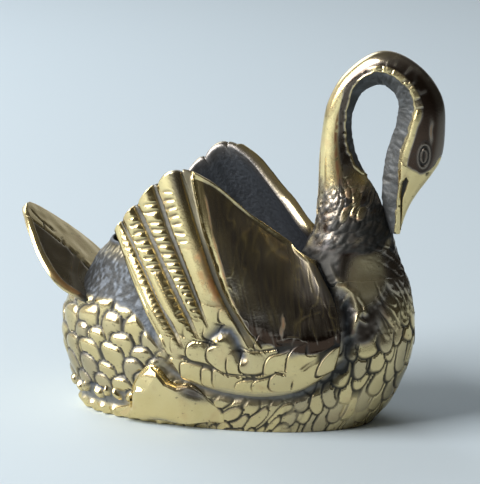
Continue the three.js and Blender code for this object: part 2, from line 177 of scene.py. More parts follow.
def outward(points, away, ring_closes=False):
    """Unit normals of a grid of points: the cross product of the steps along its two ways, with
    the sign that makes them point along away on the whole."""
    if ring_closes:
        first = np.roll(points, -1, 0) - np.roll(points, 1, 0)
    else:
        first = np.gradient(points, axis=0)
    normal = np.cross(first, np.gradient(points, axis=1))
    normal = normal / np.maximum(np.linalg.norm(normal, axis=-1, keepdims=True), 1e-9)
    return normal * np.sign((normal * away).sum())


def in_scene(name, data):
    """A new object in the scene that shows data."""
    made = bpy.data.objects.new(name, data)
    bpy.context.scene.collection.objects.link(made)
    return made


def casting(name, rings, finishes, joined=False):
    """A closed mesh of cast brass from rings of points, one row each. Neighbouring rings are
    joined by four-sided faces and each ring closes on itself. The end rings are filled with a
    fan, or joined to each other. Faces are turned so that the enclosed volume comes out positive.
    Each finish is kept from 0 to 1 at every point."""
    rows, width = rings.shape[:2]
    points = rings.reshape(-1, 3)
    i, j = np.meshgrid(np.arange(rows if joined else rows - 1), np.arange(width), indexing="ij")
    a, b = (i * width + j).ravel(), (i * width + (j + 1) % width).ravel()
    c, d = ((i + 1) % rows * width + (j + 1) % width).ravel(), ((i + 1) % rows * width + j).ravel()
    quads = np.stack([a, b, c, d], -1)
    fans = np.zeros((0, 3), int)
    if not joined:
        points = np.vstack([points, rings[0].mean(0), rings[-1].mean(0)])
        k = np.arange(width)
        near = np.stack([(k + 1) % width, k, np.full(width, rows * width)], -1)
        last = (rows - 1) * width
        far = np.stack([last + k, last + (k + 1) % width, np.full(width, rows * width + 1)], -1)
        fans = np.vstack([near, far])
    three = np.vstack([quads[:, [0, 1, 2]], quads[:, [0, 2, 3]], fans])
    p, q, r = points[three[:, 0]], points[three[:, 1]], points[three[:, 2]]
    if np.einsum("ij,ij->i", p, np.cross(q, r)).sum() < 0:
        quads, fans = quads[:, ::-1], fans[:, ::-1]
    mesh = bpy.data.meshes.new(name)
    mesh.vertices.add(len(points))
    mesh.vertices.foreach_set("co", ((points + [TO_MIDDLE, 0, 0]) / 1000).astype(np.float32).ravel())
    corners = np.r_[quads.ravel(), fans.ravel()].astype(np.int32)
    sizes = np.r_[np.full(len(quads), 4), np.full(len(fans), 3)]
    mesh.loops.add(len(corners))
    mesh.loops.foreach_set("vertex_index", corners)
    mesh.polygons.add(len(sizes))
    mesh.polygons.foreach_set("loop_start", np.r_[0, np.cumsum(sizes)[:-1]].astype(np.int32))
    mesh.update(calc_edges=True)
    mesh.polygons.foreach_set("use_smooth", np.ones(len(sizes), bool))
    for finish, values in finishes.items():
        flat = np.broadcast_to(np.clip(values, 0, 1), (rows, width)).ravel()
        if not joined:
            flat = np.r_[flat, np.mean(flat[:width]), np.mean(flat[-width:])]
        mesh.attributes.new(finish, "FLOAT", "POINT").data.foreach_set("value", flat.astype(np.float32))
    mesh.materials.append(cast_brass)
    return in_scene(name, mesh)


def shade(hex_colour):
    """An sRGB hex colour as linear light: (c + 0.055) / 1.055 to the power 2.4, or c / 12.92."""
    parts = [int(hex_colour[k:k + 2], 16) / 255 for k in (1, 3, 5)]
    return [p / 12.92 if p <= 0.04045 else ((p + 0.055) / 1.055) ** 2.4 for p in parts] + [1]


def add(material, kind, links=None, **settings):
    """Adds a shader node, makes its settings, and fills each named socket with a value or an
    output. A colour Mix has its share at socket 0, its colours at 6 and 7 and its output at 2."""
    made = material.node_tree.nodes.new("ShaderNode" + kind)
    for setting, value in settings.items():
        setattr(made, setting, value)
    for socket, value in (links or {}).items():
        if isinstance(value, bpy.types.NodeSocket):
            material.node_tree.links.new(value, made.inputs[socket])
        else:
            made.inputs[socket].default_value = value
    return made


# Old yellow cast brass, buffed and handled. It gives pale yellow highs with a soft mirror,
# brown toning and copper bloom in streaks, near-black oxide in the cuts, and a blue-grey
# as-cast skin where no buff reached: `cut`, `skin`, `toned` and `copper` on each piece say
# where. In some places they also carry painted shade, shadow, highlight and reflection, as
# noted there. Its clouds are about 4 mm across, its pores 0.7 mm and its grain 0.4 mm.
cast_brass = bpy.data.materials.new("buffed_cast_brass_with_old_oxide")
cast_brass.use_nodes = True
cast_brass.node_tree.nodes.clear()
place = add(cast_brass, "TexCoord").outputs["Object"]
cut, skin, toned, copper = [
    add(cast_brass, "Attribute", attribute_name=finish).outputs["Fac"]
    for finish in ("cut", "skin", "toned", "copper")]
cloud, speck, grain = [
    add(cast_brass, "TexNoise", {"Vector": place, "Scale": scale, "Detail": detail}).outputs["Fac"]
    for scale, detail in [(260, 3), (1500, 2), (2600, 2)]]
yellow = add(cast_brass, "Mix", {
    0: cloud, 6: shade("#D7C088"), 7: shade("#EBDAA5")}, data_type="RGBA").outputs[2]
warm_share = add(cast_brass, "MapRange", {
    "Value": cloud, "From Min": 0.56, "From Max": 0.72, "To Max": 0.25}).outputs["Result"]
bloom = add(cast_brass, "Math", {0: warm_share, 1: copper}, operation="MAXIMUM").outputs[0]
thin_tone = add(cast_brass, "MapRange", {"Value": toned, "From Max": 0.7}).outputs["Result"]
thick_tone = add(cast_brass, "MapRange", {"Value": toned, "From Min": 0.7}).outputs["Result"]
skin_colour = add(cast_brass, "Mix", {
    0: speck, 6: shade("#38414D"), 7: shade("#6E7887")}, data_type="RGBA").outputs[2]
pore = add(cast_brass, "MapRange", {
    "Value": speck, "From Min": 0.66, "From Max": 0.76, "To Max": 0.55}).outputs["Result"]
black = add(cast_brass, "Math", {0: pore, 1: cut}, operation="MAXIMUM").outputs[0]
# The layers from below: copper bloom, thin olive toning, thick brown, grey skin, black oxide.
# In places the toning, skin and oxide stand in for painted shade, shadow and reflection.
colour = yellow
for layer_share, layer in [
        (bloom, shade("#A8653A")), (thin_tone, shade("#958B7F")), (thick_tone, shade("#4A3B31")),
        (skin, skin_colour), (black, shade("#33322F"))]:
    colour = add(cast_brass, "Mix", {0: layer_share, 6: colour, 7: layer}, data_type="RGBA").outputs[2]
crust = add(cast_brass, "Math", {0: skin, 1: cut}, operation="MAXIMUM").outputs[0]
dull = add(cast_brass, "Math", {0: crust, 1: copper}, operation="MAXIMUM").outputs[0]
gloss, metal = [
    add(cast_brass, "MapRange", {"Value": dull, "To Min": clean, "To Max": rough}).outputs["Result"]
    for clean, rough in [(0.2, 0.55), (1.0, 0.6)]]
lumps = add(cast_brass, "Math", {0: speck, 1: skin}, operation="MULTIPLY").outputs[0]
pits = add(cast_brass, "Bump", {
    "Height": grain, "Strength": 0.15, "Distance": 0.0001}).outputs["Normal"]
cast = add(cast_brass, "Bump", {
    "Height": lumps, "Normal": pits, "Strength": 0.4, "Distance": 0.0003}).outputs["Normal"]
surface = add(cast_brass, "BsdfPrincipled", {
    "Base Color": colour, "Roughness": gloss, "Metallic": metal, "Normal": cast})
add(cast_brass, "OutputMaterial", {"Surface": surface.outputs["BSDF"]})

TURNS, OUTSIDE, LIP, INSIDE = 760, 100, 5, 22
SHOULDER_STEP, BACK_STEP = (43, 56), (98, 120)  # degrees round from the breast
turn = np.linspace(-np.pi, np.pi, TURNS, endpoint=False)[:, None]
degrees = np.degrees(np.abs(turn))
to_shoulder = fade(degrees, *SHOULDER_STEP) * (SHOULDER - SIDE_RIM)
to_back = smooth(degrees, *BACK_STEP) * (BACK_RIM - SIDE_RIM)
rim = SIDE_RIM + to_shoulder + to_back
share = np.r_[np.linspace(0, 0.999, OUTSIDE - 1), 1][None, :]
height = share * rim
outside = hull(turn, height)
x = outside[..., 0]

# How many mm a place lies round the body at the waist, from the breast and from the rump.
WAIST = 10.0
waist = hull(turn[:, 0], np.full(TURNS, WAIST))
step = np.linalg.norm(np.roll(waist, -1, 0) - waist, axis=1)
girth = np.r_[0, np.cumsum(step)[:-1]]
round_body = (girth - girth[TURNS // 2])[:, None] + 0 * height
from_rump = np.where(round_body > 0, round_body - girth[-1] / 2, round_body + girth[-1] / 2)
to_rear = np.abs(round_body)

# Rump: deep broad pillows with their round ends up, over a row of pebbles, a grey hollow and a
# lumpy foot bead. The skin of the mould is left between them, the tail and the wing.
PILLOW_ROUNDING, PEBBLE_STEP, BEAD_STEP = 2.2, 2.7, 3.4
rump = smooth(degrees, 100, 106) + 0 * height
wing_rear = through(
    [[2, -3], [9.3, -4.5], [15.6, -8.7], [21.4, -12.6], [28, -16.4], [34.2, -19.4]], height)
strip_width = through([[9, 1.6], [12, 2], [18, 2.6], [20.4, 3.8], [23, 8]], height)
strip = smooth(x - wing_rear + strip_width, -0.9 + 0.8 * mottle(height, x, 2.5, 6), 0.3)
strip = strip * smooth(height, 8, 11)
pillow, pillow_in, pillow_tone = scales(
    from_rump + 0.8 * mottle(from_rump, height, 5, 1) + 0.12 * height,
    height - 0.08 * np.abs(from_rump) + 0.8 * mottle(from_rump, height, 5.5, 3),
    width=5.6, length=3, lap=0.42, seed=2, wander=0.4, square=2.5, round_root=0.5)
pillow_top = smooth(height + 0.8 * mottle(from_rump, height, 3, 7), 20.5, 22)
pillows = rump * smooth(height, 4.4, 6) * (1 - pillow_top) * (1 - strip)
from_middle = np.hypot(pillow_in / PILLOW_ROUNDING, 1) - pillow_in / PILLOW_ROUNDING
pillow_shape = pillow * np.sqrt(1 - from_middle ** 2)
pillow_groove = fade(pillow_in, 0.2, 1.0 + 0.3 * mottle(from_rump, height, 2, 28))
bead = rump * fade(height + 0.4 * mottle(from_rump, height, 2, 4), 1.6, 2.6)
lumpy = np.sin(from_rump * 2 * np.pi / BEAD_STEP + 1.5 * mottle(from_rump, height, 4, 5))
pebble_across = np.mod(from_rump + 0.5 * np.sin(from_rump * 0.7), PEBBLE_STEP) - PEBBLE_STEP / 2
pebble_up = height - 4.6 - 0.5 * np.sin(from_rump * 1.1)
pebble = np.sqrt(np.clip(1 - (pebble_across / 0.95) ** 2 - (pebble_up / 0.9) ** 2, 0, 1))
pebble = rump * (1 - strip) * pebble
hollow = rump * smooth(height, 1.7, 2.5) * fade(height, 5, 6) * fade(x, -18, -14) * fade(pebble, 0, 0.5)
above = rump * np.maximum(pillow_top, strip)

# Flank: slanting leaf tiles whose tips point up and ahead, below a grooved line that runs under
# the wing and up its front edge.
BREAST_SIDE = (52, 66)  # degrees round from its middle
flank = (1 - rump) * smooth(degrees, *BREAST_SIDE)
GROOVE = [
    (-12, 12.5), (-4.5, 8.7), (2, 6.8), (9.5, 6.3), (16, 7.4), (21.3, 10.4), (23.6, 13.6), (23.9, 17.4),
    (23.2, 21.9), (21.6, 26.5)]
groove_in = from_line(x, height, GROOVE) + 0.25 * mottle(x, height, 2, 10)
gutter = bell(groove_in, 1.05) * (1 - rump) * fade(height, 23, 26)
leaf, leaf_in, leaf_tone = scales(
    0.72 * height + 0.7 * to_rear + 0.9 * mottle(to_rear, height, 4, 8),
    0.7 * height - 0.72 * to_rear + 0.9 * mottle(to_rear, height, 5, 9),
    width=2.5, length=3, lap=0.35, seed=11, wander=0.4)
leaf_groove = fade(leaf_in, 0.3, 0.9 + 0.4 * mottle(to_rear, height, 3, 12))

# Breast: squarish shield tiles with their points down and a plain low front, then a smooth
# swelling under the neck, with long slanting barbs ahead of it and a sharp crooked ridge with
# three short spurs behind it.
breast = fade(degrees, *BREAST_SIDE)
tile_top = height - 4 * fade(to_rear, 4, 9) + 1.8 * mottle(round_body, height, 3, 19)
tiled = breast * fade(tile_top, 15, 17.5)
plain = breast * fade(height + 1.2 * mottle(round_body, height, 3, 16), 5, 8)
plain = plain * smooth(to_rear, 3, 8) * smooth(x, 19, 25)
shield, shield_in, shield_tone = scales(
    round_body + mottle(round_body, height, 4, 14),
    0.25 * to_rear - height + 0.9 * mottle(round_body, height, 4, 15),
    width=3.5, length=2.9, lap=0.35, seed=17, wander=0.4, square=2.3)
shield_groove = fade(shield_in, 0.25, 0.85 + 0.4 * mottle(round_body, height, 3, 18))
swell = breast * (1 - tiled)


def slanting_barbs(side, height):
    """Long narrow feathers on the front of the breast, which point down and in to its middle:
    scales whose length runs along -0.55 side - 0.83 height. Returns their rise and how many mm
    in from the edge the place is."""
    return scales(
        0.83 * side - 0.55 * height + 0.9 * mottle(side, height, 4, 24),
        -0.55 * side - 0.83 * height + 1.2 * mottle(side, height, 5, 25),
        width=1.8, length=4.8, lap=0.35, seed=23, wander=0.5, square=2.2)[:2]


def swelling(x, z):
    """How much of the smooth bulge beside the foot of the neck lies here: 1 well inside an oval
    of the side view, 0 outside it."""
    return fade(((x - 25.6) / 3.6) ** 2 + ((z - 27.8) / 6) ** 2, 0.1, 1.2)


barb, barb_in = slanting_barbs(to_rear, height)
barb_groove = fade(barb_in, 0.08, 0.35)
barbs = breast * (1 - tiled) * fade(to_rear, 8, 10.5) * fade(height, 25.8, 27.3)
RIDGE = [(19.2, 30.4), (20.7, 28.1), (22, 26.8), (23.5, 25.4), (25.1, 22.1), (24.6, 20.3), (24.1, 18)]
SPURS = [
    [(23.3, 25.5), (22.3, 23.6)], [(24.4, 24.8), (25.6, 23.4), (26, 21.6)], [(24.9, 21), (26.2, 20.2)]]
# The bulge under the neck is raised, and its finishes below are painted greyer and less brown: a painted
# reflection of the table that it mirrors.
bulge_and_painted_reflection = swelling(x, height) * smooth(np.abs(outside[..., 1]), 2, 4)
spur_in = np.min([from_line(x, height, spur) for spur in SPURS], 0)
ridge_in = np.minimum(from_line(x, height, RIDGE), spur_in + 0.22)
ridge = breast * bell(ridge_in, 0.5 + 0.2 * mottle(x, height, 1.1, 21))
purple = swell * (1 - bulge_and_painted_reflection) * fade(to_rear, 13, 17) * smooth(to_rear, 6, 9)

# The carving's height in mm, brought to nothing at the foot and at the rim.
below_seat = fade(height, 25.4, SHOULDER)
swell_lumps = 0.2 * mottle(round_body, height, 3.1, 31) + 0.09 * mottle(round_body, height, 0.7, 37)
relief = (
    1.35 * pillows * (pillow_shape - 0.65) + bead * (0.45 + 0.35 * lumpy) - 0.35 * hollow + 0.75 * pebble
    + 0.06 * above * mottle(from_rump, height, 0.55, 29)
    + 0.45 * flank * (leaf * smooth(leaf_in, 0, 0.6) - 0.8) * (1 - gutter) - 0.9 * gutter
    + 0.1 * flank * mottle(to_rear, height, 3.4, 30)
    + 0.5 * tiled * (1 - 0.85 * plain) * (shield * smooth(shield_in, 0, 0.6) - 0.8) * (1 - gutter)
    + 0.26 * barbs * (barb * smooth(barb_in, 0, 0.6) - 0.6)
    + below_seat * swell * (1 - bulge_and_painted_reflection) * swell_lumps + 0.35 * bulge_and_painted_reflection + 0.5 * ridge)
relief = relief * smooth(share, 0, 0.02) * np.where(degrees < 50, 1, fade(share, 0.985, 1))
relief = relief - rump * (0.4 * above + 0.9 * smooth(share, 0.86, 1) ** 2)
relief = relief + 0.16 * smooth(height, 24, 27) * breast
outside = outside + outward(outside, outside - [0, 0, 12], ring_closes=True) * relief[..., None]

# The rounded lip, the smooth wall of the pot, and the recess and foot ring under it.
CAVITY_START, FOOT_RIM = 5.6, 2.2
lip = np.linspace(0, 1, LIP)[None, 1:-1]
inner = np.linspace(1, 0, INSIDE)[None, :]
depth = CAVITY_START + (rim - CAVITY_START) * inner
cavity_front = np.minimum(through(CAVITY_FRONT, depth), through(BREAST_REACH, depth) - SHELL_WALL)
cavity = oval(turn, depth, cavity_front, through(RUMP_REACH, depth) - SHELL_WALL,
              through(FLANK_REACH, depth) - SHELL_WALL)
cavity_lumps = 0.16 * mottle(round_body[:, :INSIDE], depth, 1.3, 41)
cavity_lumps = cavity_lumps * smooth(inner, 0, 0.1) * fade(inner, 0.9, 1)
cavity = cavity + cavity_lumps[..., None] * [1, 1, 0]
top = outside[:, -1:] + (cavity[:, :1] - outside[:, -1:]) * lip[..., None]
top[..., 2] += 0.45 * np.sin(np.pi * lip)
under_body = np.concatenate([
    hull(turn, np.zeros((1, 1)), FOOT_RIM + inset) * [1, 1, 0] + [0, 0, level]
    for inset, level in [(1, 3.6), (1, 2.6), (0, 2.6), (0, 0), (-1.1, 0)]], 1)
rings = np.concatenate([outside, top, cavity, under_body], 1)

shield_cut = tiled * (1 - 0.9 * plain) * shield_groove
body_cut = (
    0.75 * pillows * pillow_groove + 0.95 * flank * leaf_groove * (1 - gutter) + 0.95 * shield_cut
    + 0.6 * barbs * barb_groove + (0.2 + 0.35 * smooth(x, 17, 21)) * gutter + 0.4 * purple * (1 - ridge)
    + above * (0.3 + 0.55 * smooth(height, 19, 23)) * smooth(mottle(from_rump, height, 0.6, 45), -0.8, 0.3))
# The bulge's grey skin here and its lower tone below are a painted reflection.
body_skin = (
    0.95 * above * (1 - 0.4 * smooth(height, 28, 30)) + 0.85 * hollow + 0.8 * pillows * pillow_groove
    + 0.8 * gutter + 0.36 * bulge_and_painted_reflection)
body_tone = (
    (0.7 * swell - 0.62 * bulge_and_painted_reflection - 0.5 * barbs * fade(height, 20, 27)) * (1 - ridge)
    + 0.35 * tiled * shield_tone + 0.2 * flank * leaf_tone + 0.45 * pillows * pillow_tone + 0.25 * purple)
body_copper = 0.7 * purple * smooth(mottle(x, height, 1.1, 44), 0.25, 0.6)
unseen = rings.shape[1] - OUTSIDE
body = casting("hollow_body", rings, {
    finish: np.concatenate([seen, np.full((TURNS, unseen), hidden)], 1) for finish, seen, hidden in [
        ("cut", body_cut, 0.5), ("skin", body_skin, 0.95), ("toned", body_tone, 0.4),
        ("copper", body_copper, 0.0)]}, joined=True)
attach(body, "root")
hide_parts("body_shell")

# The base plate
# A thin sheet of brass, sawn to the oval of the recess and brazed in flat. Nobody sees it, so
# it keeps its rolled finish, gone brown.
sheet_brass = bpy.data.materials.new("rolled_sheet_brass")
sheet_brass.use_nodes = True
sheet_brass.node_tree.nodes.clear()
along_roll = add(sheet_brass, "Mapping", {
    "Vector": add(sheet_brass, "TexCoord").outputs["Object"], "Scale": (60, 2500, 1)}).outputs[0]
roll_lines = add(sheet_brass, "TexNoise", {"Vector": along_roll, "Scale": 1, "Detail": 3}).outputs["Fac"]
stain = add(sheet_brass, "TexNoise", {
    "Vector": add(sheet_brass, "TexCoord").outputs["Object"], "Scale": 90, "Detail": 4}).outputs["Fac"]
sheet_colour = add(sheet_brass, "Mix", {
    0: stain, 6: shade("#8C6E3C"), 7: shade("#CDB371")}, data_type="RGBA").outputs[2]
sheet_gloss = add(sheet_brass, "MapRange", {
    "Value": roll_lines, "To Min": 0.3, "To Max": 0.5}).outputs["Result"]
sheet_line = add(sheet_brass, "Bump", {
    "Height": roll_lines, "Strength": 0.2, "Distance": 0.00005}).outputs["Normal"]
sheet_surface = add(sheet_brass, "BsdfPrincipled", {
    "Base Color": sheet_colour, "Roughness": sheet_gloss, "Metallic": 1.0, "Normal": sheet_line})
add(sheet_brass, "OutputMaterial", {"Surface": sheet_surface.outputs["BSDF"]})
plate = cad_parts["base_plate"]
plate.data.materials.clear()
plate.data.materials.append(sheet_brass)

# The wings
# Two leaf castings brazed to the flanks, which curve away from the body at the top. Four long
# barbed feathers stand at the rear, then a thin raised line, a large smooth filed panel, and
# rows of small feathers along the foot.
WING_BOTTOM = [[-4.5, 9.3], [2, 7.8], [9.5, 7.3], [16, 8.6], [21.6, 12.4]]
WING_REAR = [[-4.5, 9.3], [-8.7, 15.6], [-12.6, 21.4], [-16.4, 28], [-19.4, 34.2]]
WING_FRONT = [[21.6, 12.4], [22.4, 16], [22.1, 20.4], [20.6, 25], [17, 30.6]]
WING_TOP = [
    [-19.4, 34.2], [-15, 39.5], [-8.2, 46.1], [-2.7, 45.1], [4.4, 38], [10.8, 32.2], [17, 30.6]]
WING_TOP_WIDTH = [[0, 9.2], [0.2, 11.4], [0.36, 12.2], [0.5, 11.5], [0.68, 9.2], [0.86, 5.8], [1, 7.2]]
WING_LEAN_HEIGHT = [[-15, 31], [-5, 18.4]]
LONG_FEATHERS = [0.02, 0.1, 0.19, 0.28, 0.4]
FOURTH = 3  # the first is 0
WING_FAN, TIP_ROUNDING, BRAZE_GAP = 0.13, 1.1, 0.3
WING_COLUMNS, REAR_COLUMNS, WING_OUT, WING_IN = 420, 270, 190, 38


def bend(points, place):
    """A smooth curve through points at equal steps of place: a cubic between each two whose
    slope at a point is half the way between its neighbours."""
    p = np.array(points, float)
    i = np.clip(np.floor(place * (len(p) - 1)).astype(int), 0, len(p) - 1)
    t = (place * (len(p) - 1) - i)[..., None]
    before, after = p[np.maximum(i - 1, 0)], p[np.minimum(i + 1, len(p) - 1)]
    later = p[np.minimum(i + 2, len(p) - 1)]
    go, come = (after - before) / 2, (later - p[i]) / 2
    cube = (2 * p[i] - 2 * after + go + come) * t ** 3
    return cube + (3 * after - 3 * p[i] - 2 * go - come) * t ** 2 + go * t + p[i]


def across_feather(share):
    """How far across its long feather a share of the wing lies, -1 to 1, and which one, or
    nothing (-1) between and in front of them."""
    which = np.searchsorted(LONG_FEATHERS, share, side="right") - 1
    which = np.where((which < 0) | (which > FOURTH), -1, which)
    low = np.take(LONG_FEATHERS, np.maximum(which, 0))
    high = np.take(LONG_FEATHERS, np.maximum(which, 0) + 1)
    return np.where(which < 0, 1, 2 * (share - low) / (high - low) - 1), which


def fanned(share, up):
    """How far ahead a share of the wing lies: the share, and more in the middle and below, by
    WING_FAN and the square of a half sine wave."""
    return share + WING_FAN * (1 - up) * np.sin(np.pi * share) ** 2


def wing_side(share, up):
    """A patch between the wing's four edges in the side view: the blend of bottom and top edge,
    plus the blend of rear and front edge, less the blend of the corners. The lower part swings
    forward as the feathers fan, and the long feathers end in round tips."""
    along = fanned(share, up)
    a, u = along[..., None], up[..., None]
    b0, b1 = np.array(WING_BOTTOM[0]), np.array(WING_BOTTOM[-1])
    t0, t1 = np.array(WING_TOP[0]), np.array(WING_TOP[-1])
    corner = (b0 * (1 - a) + b1 * a) * (1 - u) + (t0 * (1 - a) + t1 * a) * u
    patch = bend(WING_BOTTOM, along) * (1 - u) + bend(WING_TOP, along) * u
    patch = patch + bend(WING_REAR, up) * (1 - a) + bend(WING_FRONT, up) * a - corner
    across, which = across_feather(share)
    tip = np.where(which < 0, 0, TIP_ROUNDING * (np.sqrt(np.maximum(0, 1 - across ** 2)) - 1))
    return patch[..., 0], patch[..., 1] + tip * smooth(up, 0.8, 1)


def wing_inside(share, up):
    """The wing's inner face: it hugs the body, then leans out to its width at the top."""
    x, z = wing_side(share, up)
    along = fanned(share, up)
    top = bend(WING_TOP, along)[..., 1]
    start = through(WING_LEAN_HEIGHT, x)
    lean = np.clip((z - start) / (top - start), 0, 1) ** 1.3
    hug = hull_width(x, np.minimum(z, start)) + BRAZE_GAP
    return np.stack([x, hug * (1 - lean) + through(WING_TOP_WIDTH, along) * lean, z], -1)


wing_share = np.r_[
    np.linspace(0, 0.5, REAR_COLUMNS, endpoint=False), np.linspace(0.5, 1, WING_COLUMNS - REAR_COLUMNS)]
fore, up = np.meshgrid(wing_share, np.linspace(0, 1, WING_OUT), indexing="ij")
inside = wing_inside(fore, up)
flat_x, flat_z = wing_side(fore, up)

# The four long feathers, rounded along their length, with notched bars across them and a smooth
# gulley before the next. The valley lies between the fourth one and the crease of the panel.
FEATHER_EDGES = [
    [[0.2, 0.05], [0.6, 0.035], [1, 0.02]], [[0.2, 0.145], [0.5, 0.125], [1, 0.1]],
    [[0.2, 0.222], [0.5, 0.207], [1, 0.19]], [[0.2, 0.28], [0.5, 0.264], [0.75, 0.264], [1, 0.28]],
    [[0.2, 0.42], [0.4, 0.372], [0.55, 0.354], [0.75, 0.362], [1, 0.39]]]
CREASE = [[0.2, 0.5], [0.35, 0.428], [0.52, 0.388], [0.72, 0.392], [0.88, 0.418], [1, 0.446]]
BAR_STEP = 1.55
edges = [through(pairs, up) for pairs in FEATHER_EDGES]
crease_at = through(CREASE, up)
which = sum((fore > edge).astype(int) for edge in edges) - 1
on_long = (which >= 0) & (which <= FOURTH)
which = np.where(on_long, which, -1)
feather = np.maximum(which, 0)
first, fourth = which == 0, which == FOURTH
low, high = np.choose(feather, edges[:-1]), np.choose(feather, edges[1:])
across = np.where(on_long, 2 * (fore - low) / (high - low) - 1, 1)
shifted = np.where(fourth, (across - 0.35) / np.where(across < 0.35, 1.35, 0.65), (across + 0.2) / 0.8)
dome = np.where(on_long, np.sqrt(np.clip(1 - np.abs(shifted) ** 2.6, 0, 1)), 0)
dome = dome * np.choose(feather, [0.5, 1, 1, 0.8])
feather_foot = 0.27 + 0.045 * feather
long = smooth(up, feather_foot - 0.06, feather_foot + 0.08) * (fore < crease_at)
bar_at = (flat_z - 0.3 * flat_x + 0.35 * mottle(flat_x, flat_z, 2.2, 51)) * np.where(first, 1.4, 1)
bar_number = np.floor(bar_at / BAR_STEP)
bar_luck = chance(bar_number, which, 54)
bar_groove = smooth(np.abs(bar_at / BAR_STEP - bar_number - 0.5), 0.24, 0.42)
bar_start = np.choose(feather, [-0.3, -0.7, -1.2, -1.1]) + 0.4 * bar_luck
bar_start = bar_start + np.choose(feather, [0, 0.7, 0.6, 0]) * smooth(0.64 - up, -0.06, 0.06)
barred = smooth(across, bar_start, bar_start + 0.2) * fade(across, 0.45, 0.6)
barred = barred * np.where(fourth, fade(across, -0.35, 0.15), 1) * long * on_long * fade(up, 0.9, 0.95)
barred = barred * np.where(bar_luck > 0.86, 0.3, 1) * np.where(fourth, smooth(up, 0.66, 0.74), 1)
gulley = np.where(on_long & ~fourth, smooth(across, 0.5, 0.66), 0) * long
valley = ((fore >= edges[-1]) & (fore < crease_at)) * long * smooth(crease_at - fore, 0.004, 0.012)
crease = bell(fore - crease_at, 0.0085) * smooth(up, 0.22, 0.3) * fade(up, 0.95, 0.99)

# The smooth panel, toned brown but for a gold band along the crease and the bright rim, with
# its scores, scratches and streaks. The brown is partly tarnish and partly painted shade for the
# dark room that the panel mirrors, and the bright rim is a painted highlight.
SCORES = [
    [(16.2, 28.6), (16.5, 26.8), (17.2, 25)], [(17.7, 27.6), (18.5, 26), (18.4, 24.3)],
    [(19.3, 23.8), (20.4, 21.9), (21.4, 19.2), (21.7, 16.6)], [(14.6, 19.8), (16.4, 21.2), (18.8, 22)],
    [(12, 17.4), (14, 18.2), (15.6, 18)], [(17.6, 19.6), (18.6, 17.6), (18.9, 15.8)]]
past_crease = smooth(fore, crease_at, crease_at + 0.006)
panel = past_crease * smooth(up, 0.3, 0.4)
browned = past_crease * smooth(up + 0.03 * mottle(flat_x, flat_z, 1.8, 70), 0.27, 0.31)
gold_band = through([[0.4, 0.012], [0.65, 0.03], [0.9, 0.045], [1, 0.05]], up)
past_band = smooth(fore - crease_at - gold_band, -0.006, 0.008) * browned
uneven = smooth(flat_x, 10, 18) * smooth(31 - flat_z, 0, 8)
panel_streak = mottle(flat_x + 0.3 * flat_z, 0.12 * flat_z, 0.32, 64)
panel_streak = panel_streak * smooth(mottle(flat_x, flat_z, 5, 65), -0.8, 0.2)
panel_wave = (0.17 * mottle(flat_x, flat_z, 5, 61) + 0.16 * uneven * mottle(flat_x, flat_z, 2.4, 63)
              + 0.012 * panel_streak)
panel_rise = 0.22 * smooth(fore - crease_at, 0, gold_band + 0.004) + panel_wave
score_in = np.min([from_line(flat_x, flat_z, points) for points in SCORES], 0)
score = panel * bell(score_in + 0.1 * mottle(flat_x, flat_z, 0.7, 62), 0.13)
scratch = panel * bell(mottle(flat_x, 0.6 * flat_z, 1.1, 66), 0.13)
scratch = scratch * smooth(mottle(flat_x, flat_z, 2.3, 69) + 0.4 * uneven, -0.1, 0.4)
from_rim = (1 - up) * (through([[0, 25], [0.4, 38], [0.7, 27], [1, 18]], fore))
# A band along the top rim: raised, and left untoned with less oxide as a painted highlight.
rim_band_and_painted_highlight = fade(from_rim, 0.3, 1.5) * smooth(fore, crease_at, crease_at + 0.01)

# The small feathers, in rows that follow the lower edge, and the hooked pocket at the foot of
# the panel with a bright lump before it.
SMALL_ROW = 4.1
POCKET = [(0.3, 16.9), (2, 19), (3.9, 18.9), (5, 17.3), (6.1, 14.6)]
small_rows = np.clip(1 - long - panel, 0, 1)
floor_place = (flat_x - WING_BOTTOM[0][0]) / (WING_BOTTOM[-1][0] - WING_BOTTOM[0][0])
wing_floor = bend(WING_BOTTOM, np.clip(floor_place, 0, 1))[..., 1]
above_floor = flat_z - wing_floor + 0.6 * mottle(flat_x, flat_z, 4, 53)
row_shift = 1.6 * np.mod(np.floor(above_floor / SMALL_ROW), 2)
small, small_in, small_tone = scales(
    above_floor, 0.15 * flat_z - flat_x + row_shift + 0.8 * mottle(flat_x, flat_z, 5, 55),
    width=SMALL_ROW, length=3.4, lap=0.12, seed=57, wander=0.3, square=3, shift=0)
small_broken = smooth(mottle(flat_x, flat_z, 3, 59), -0.75, -0.1)
small_groove = fade(small_in, 0.18, 0.55 + 0.28 * mottle(flat_x, flat_z, 2.5, 58)) * small_broken
pocket = bell(from_line(flat_x, flat_z, POCKET), 0.95)
bright_lump = bell(flat_x - 1.5, 0.9, flat_z - 16.9, 0.6)

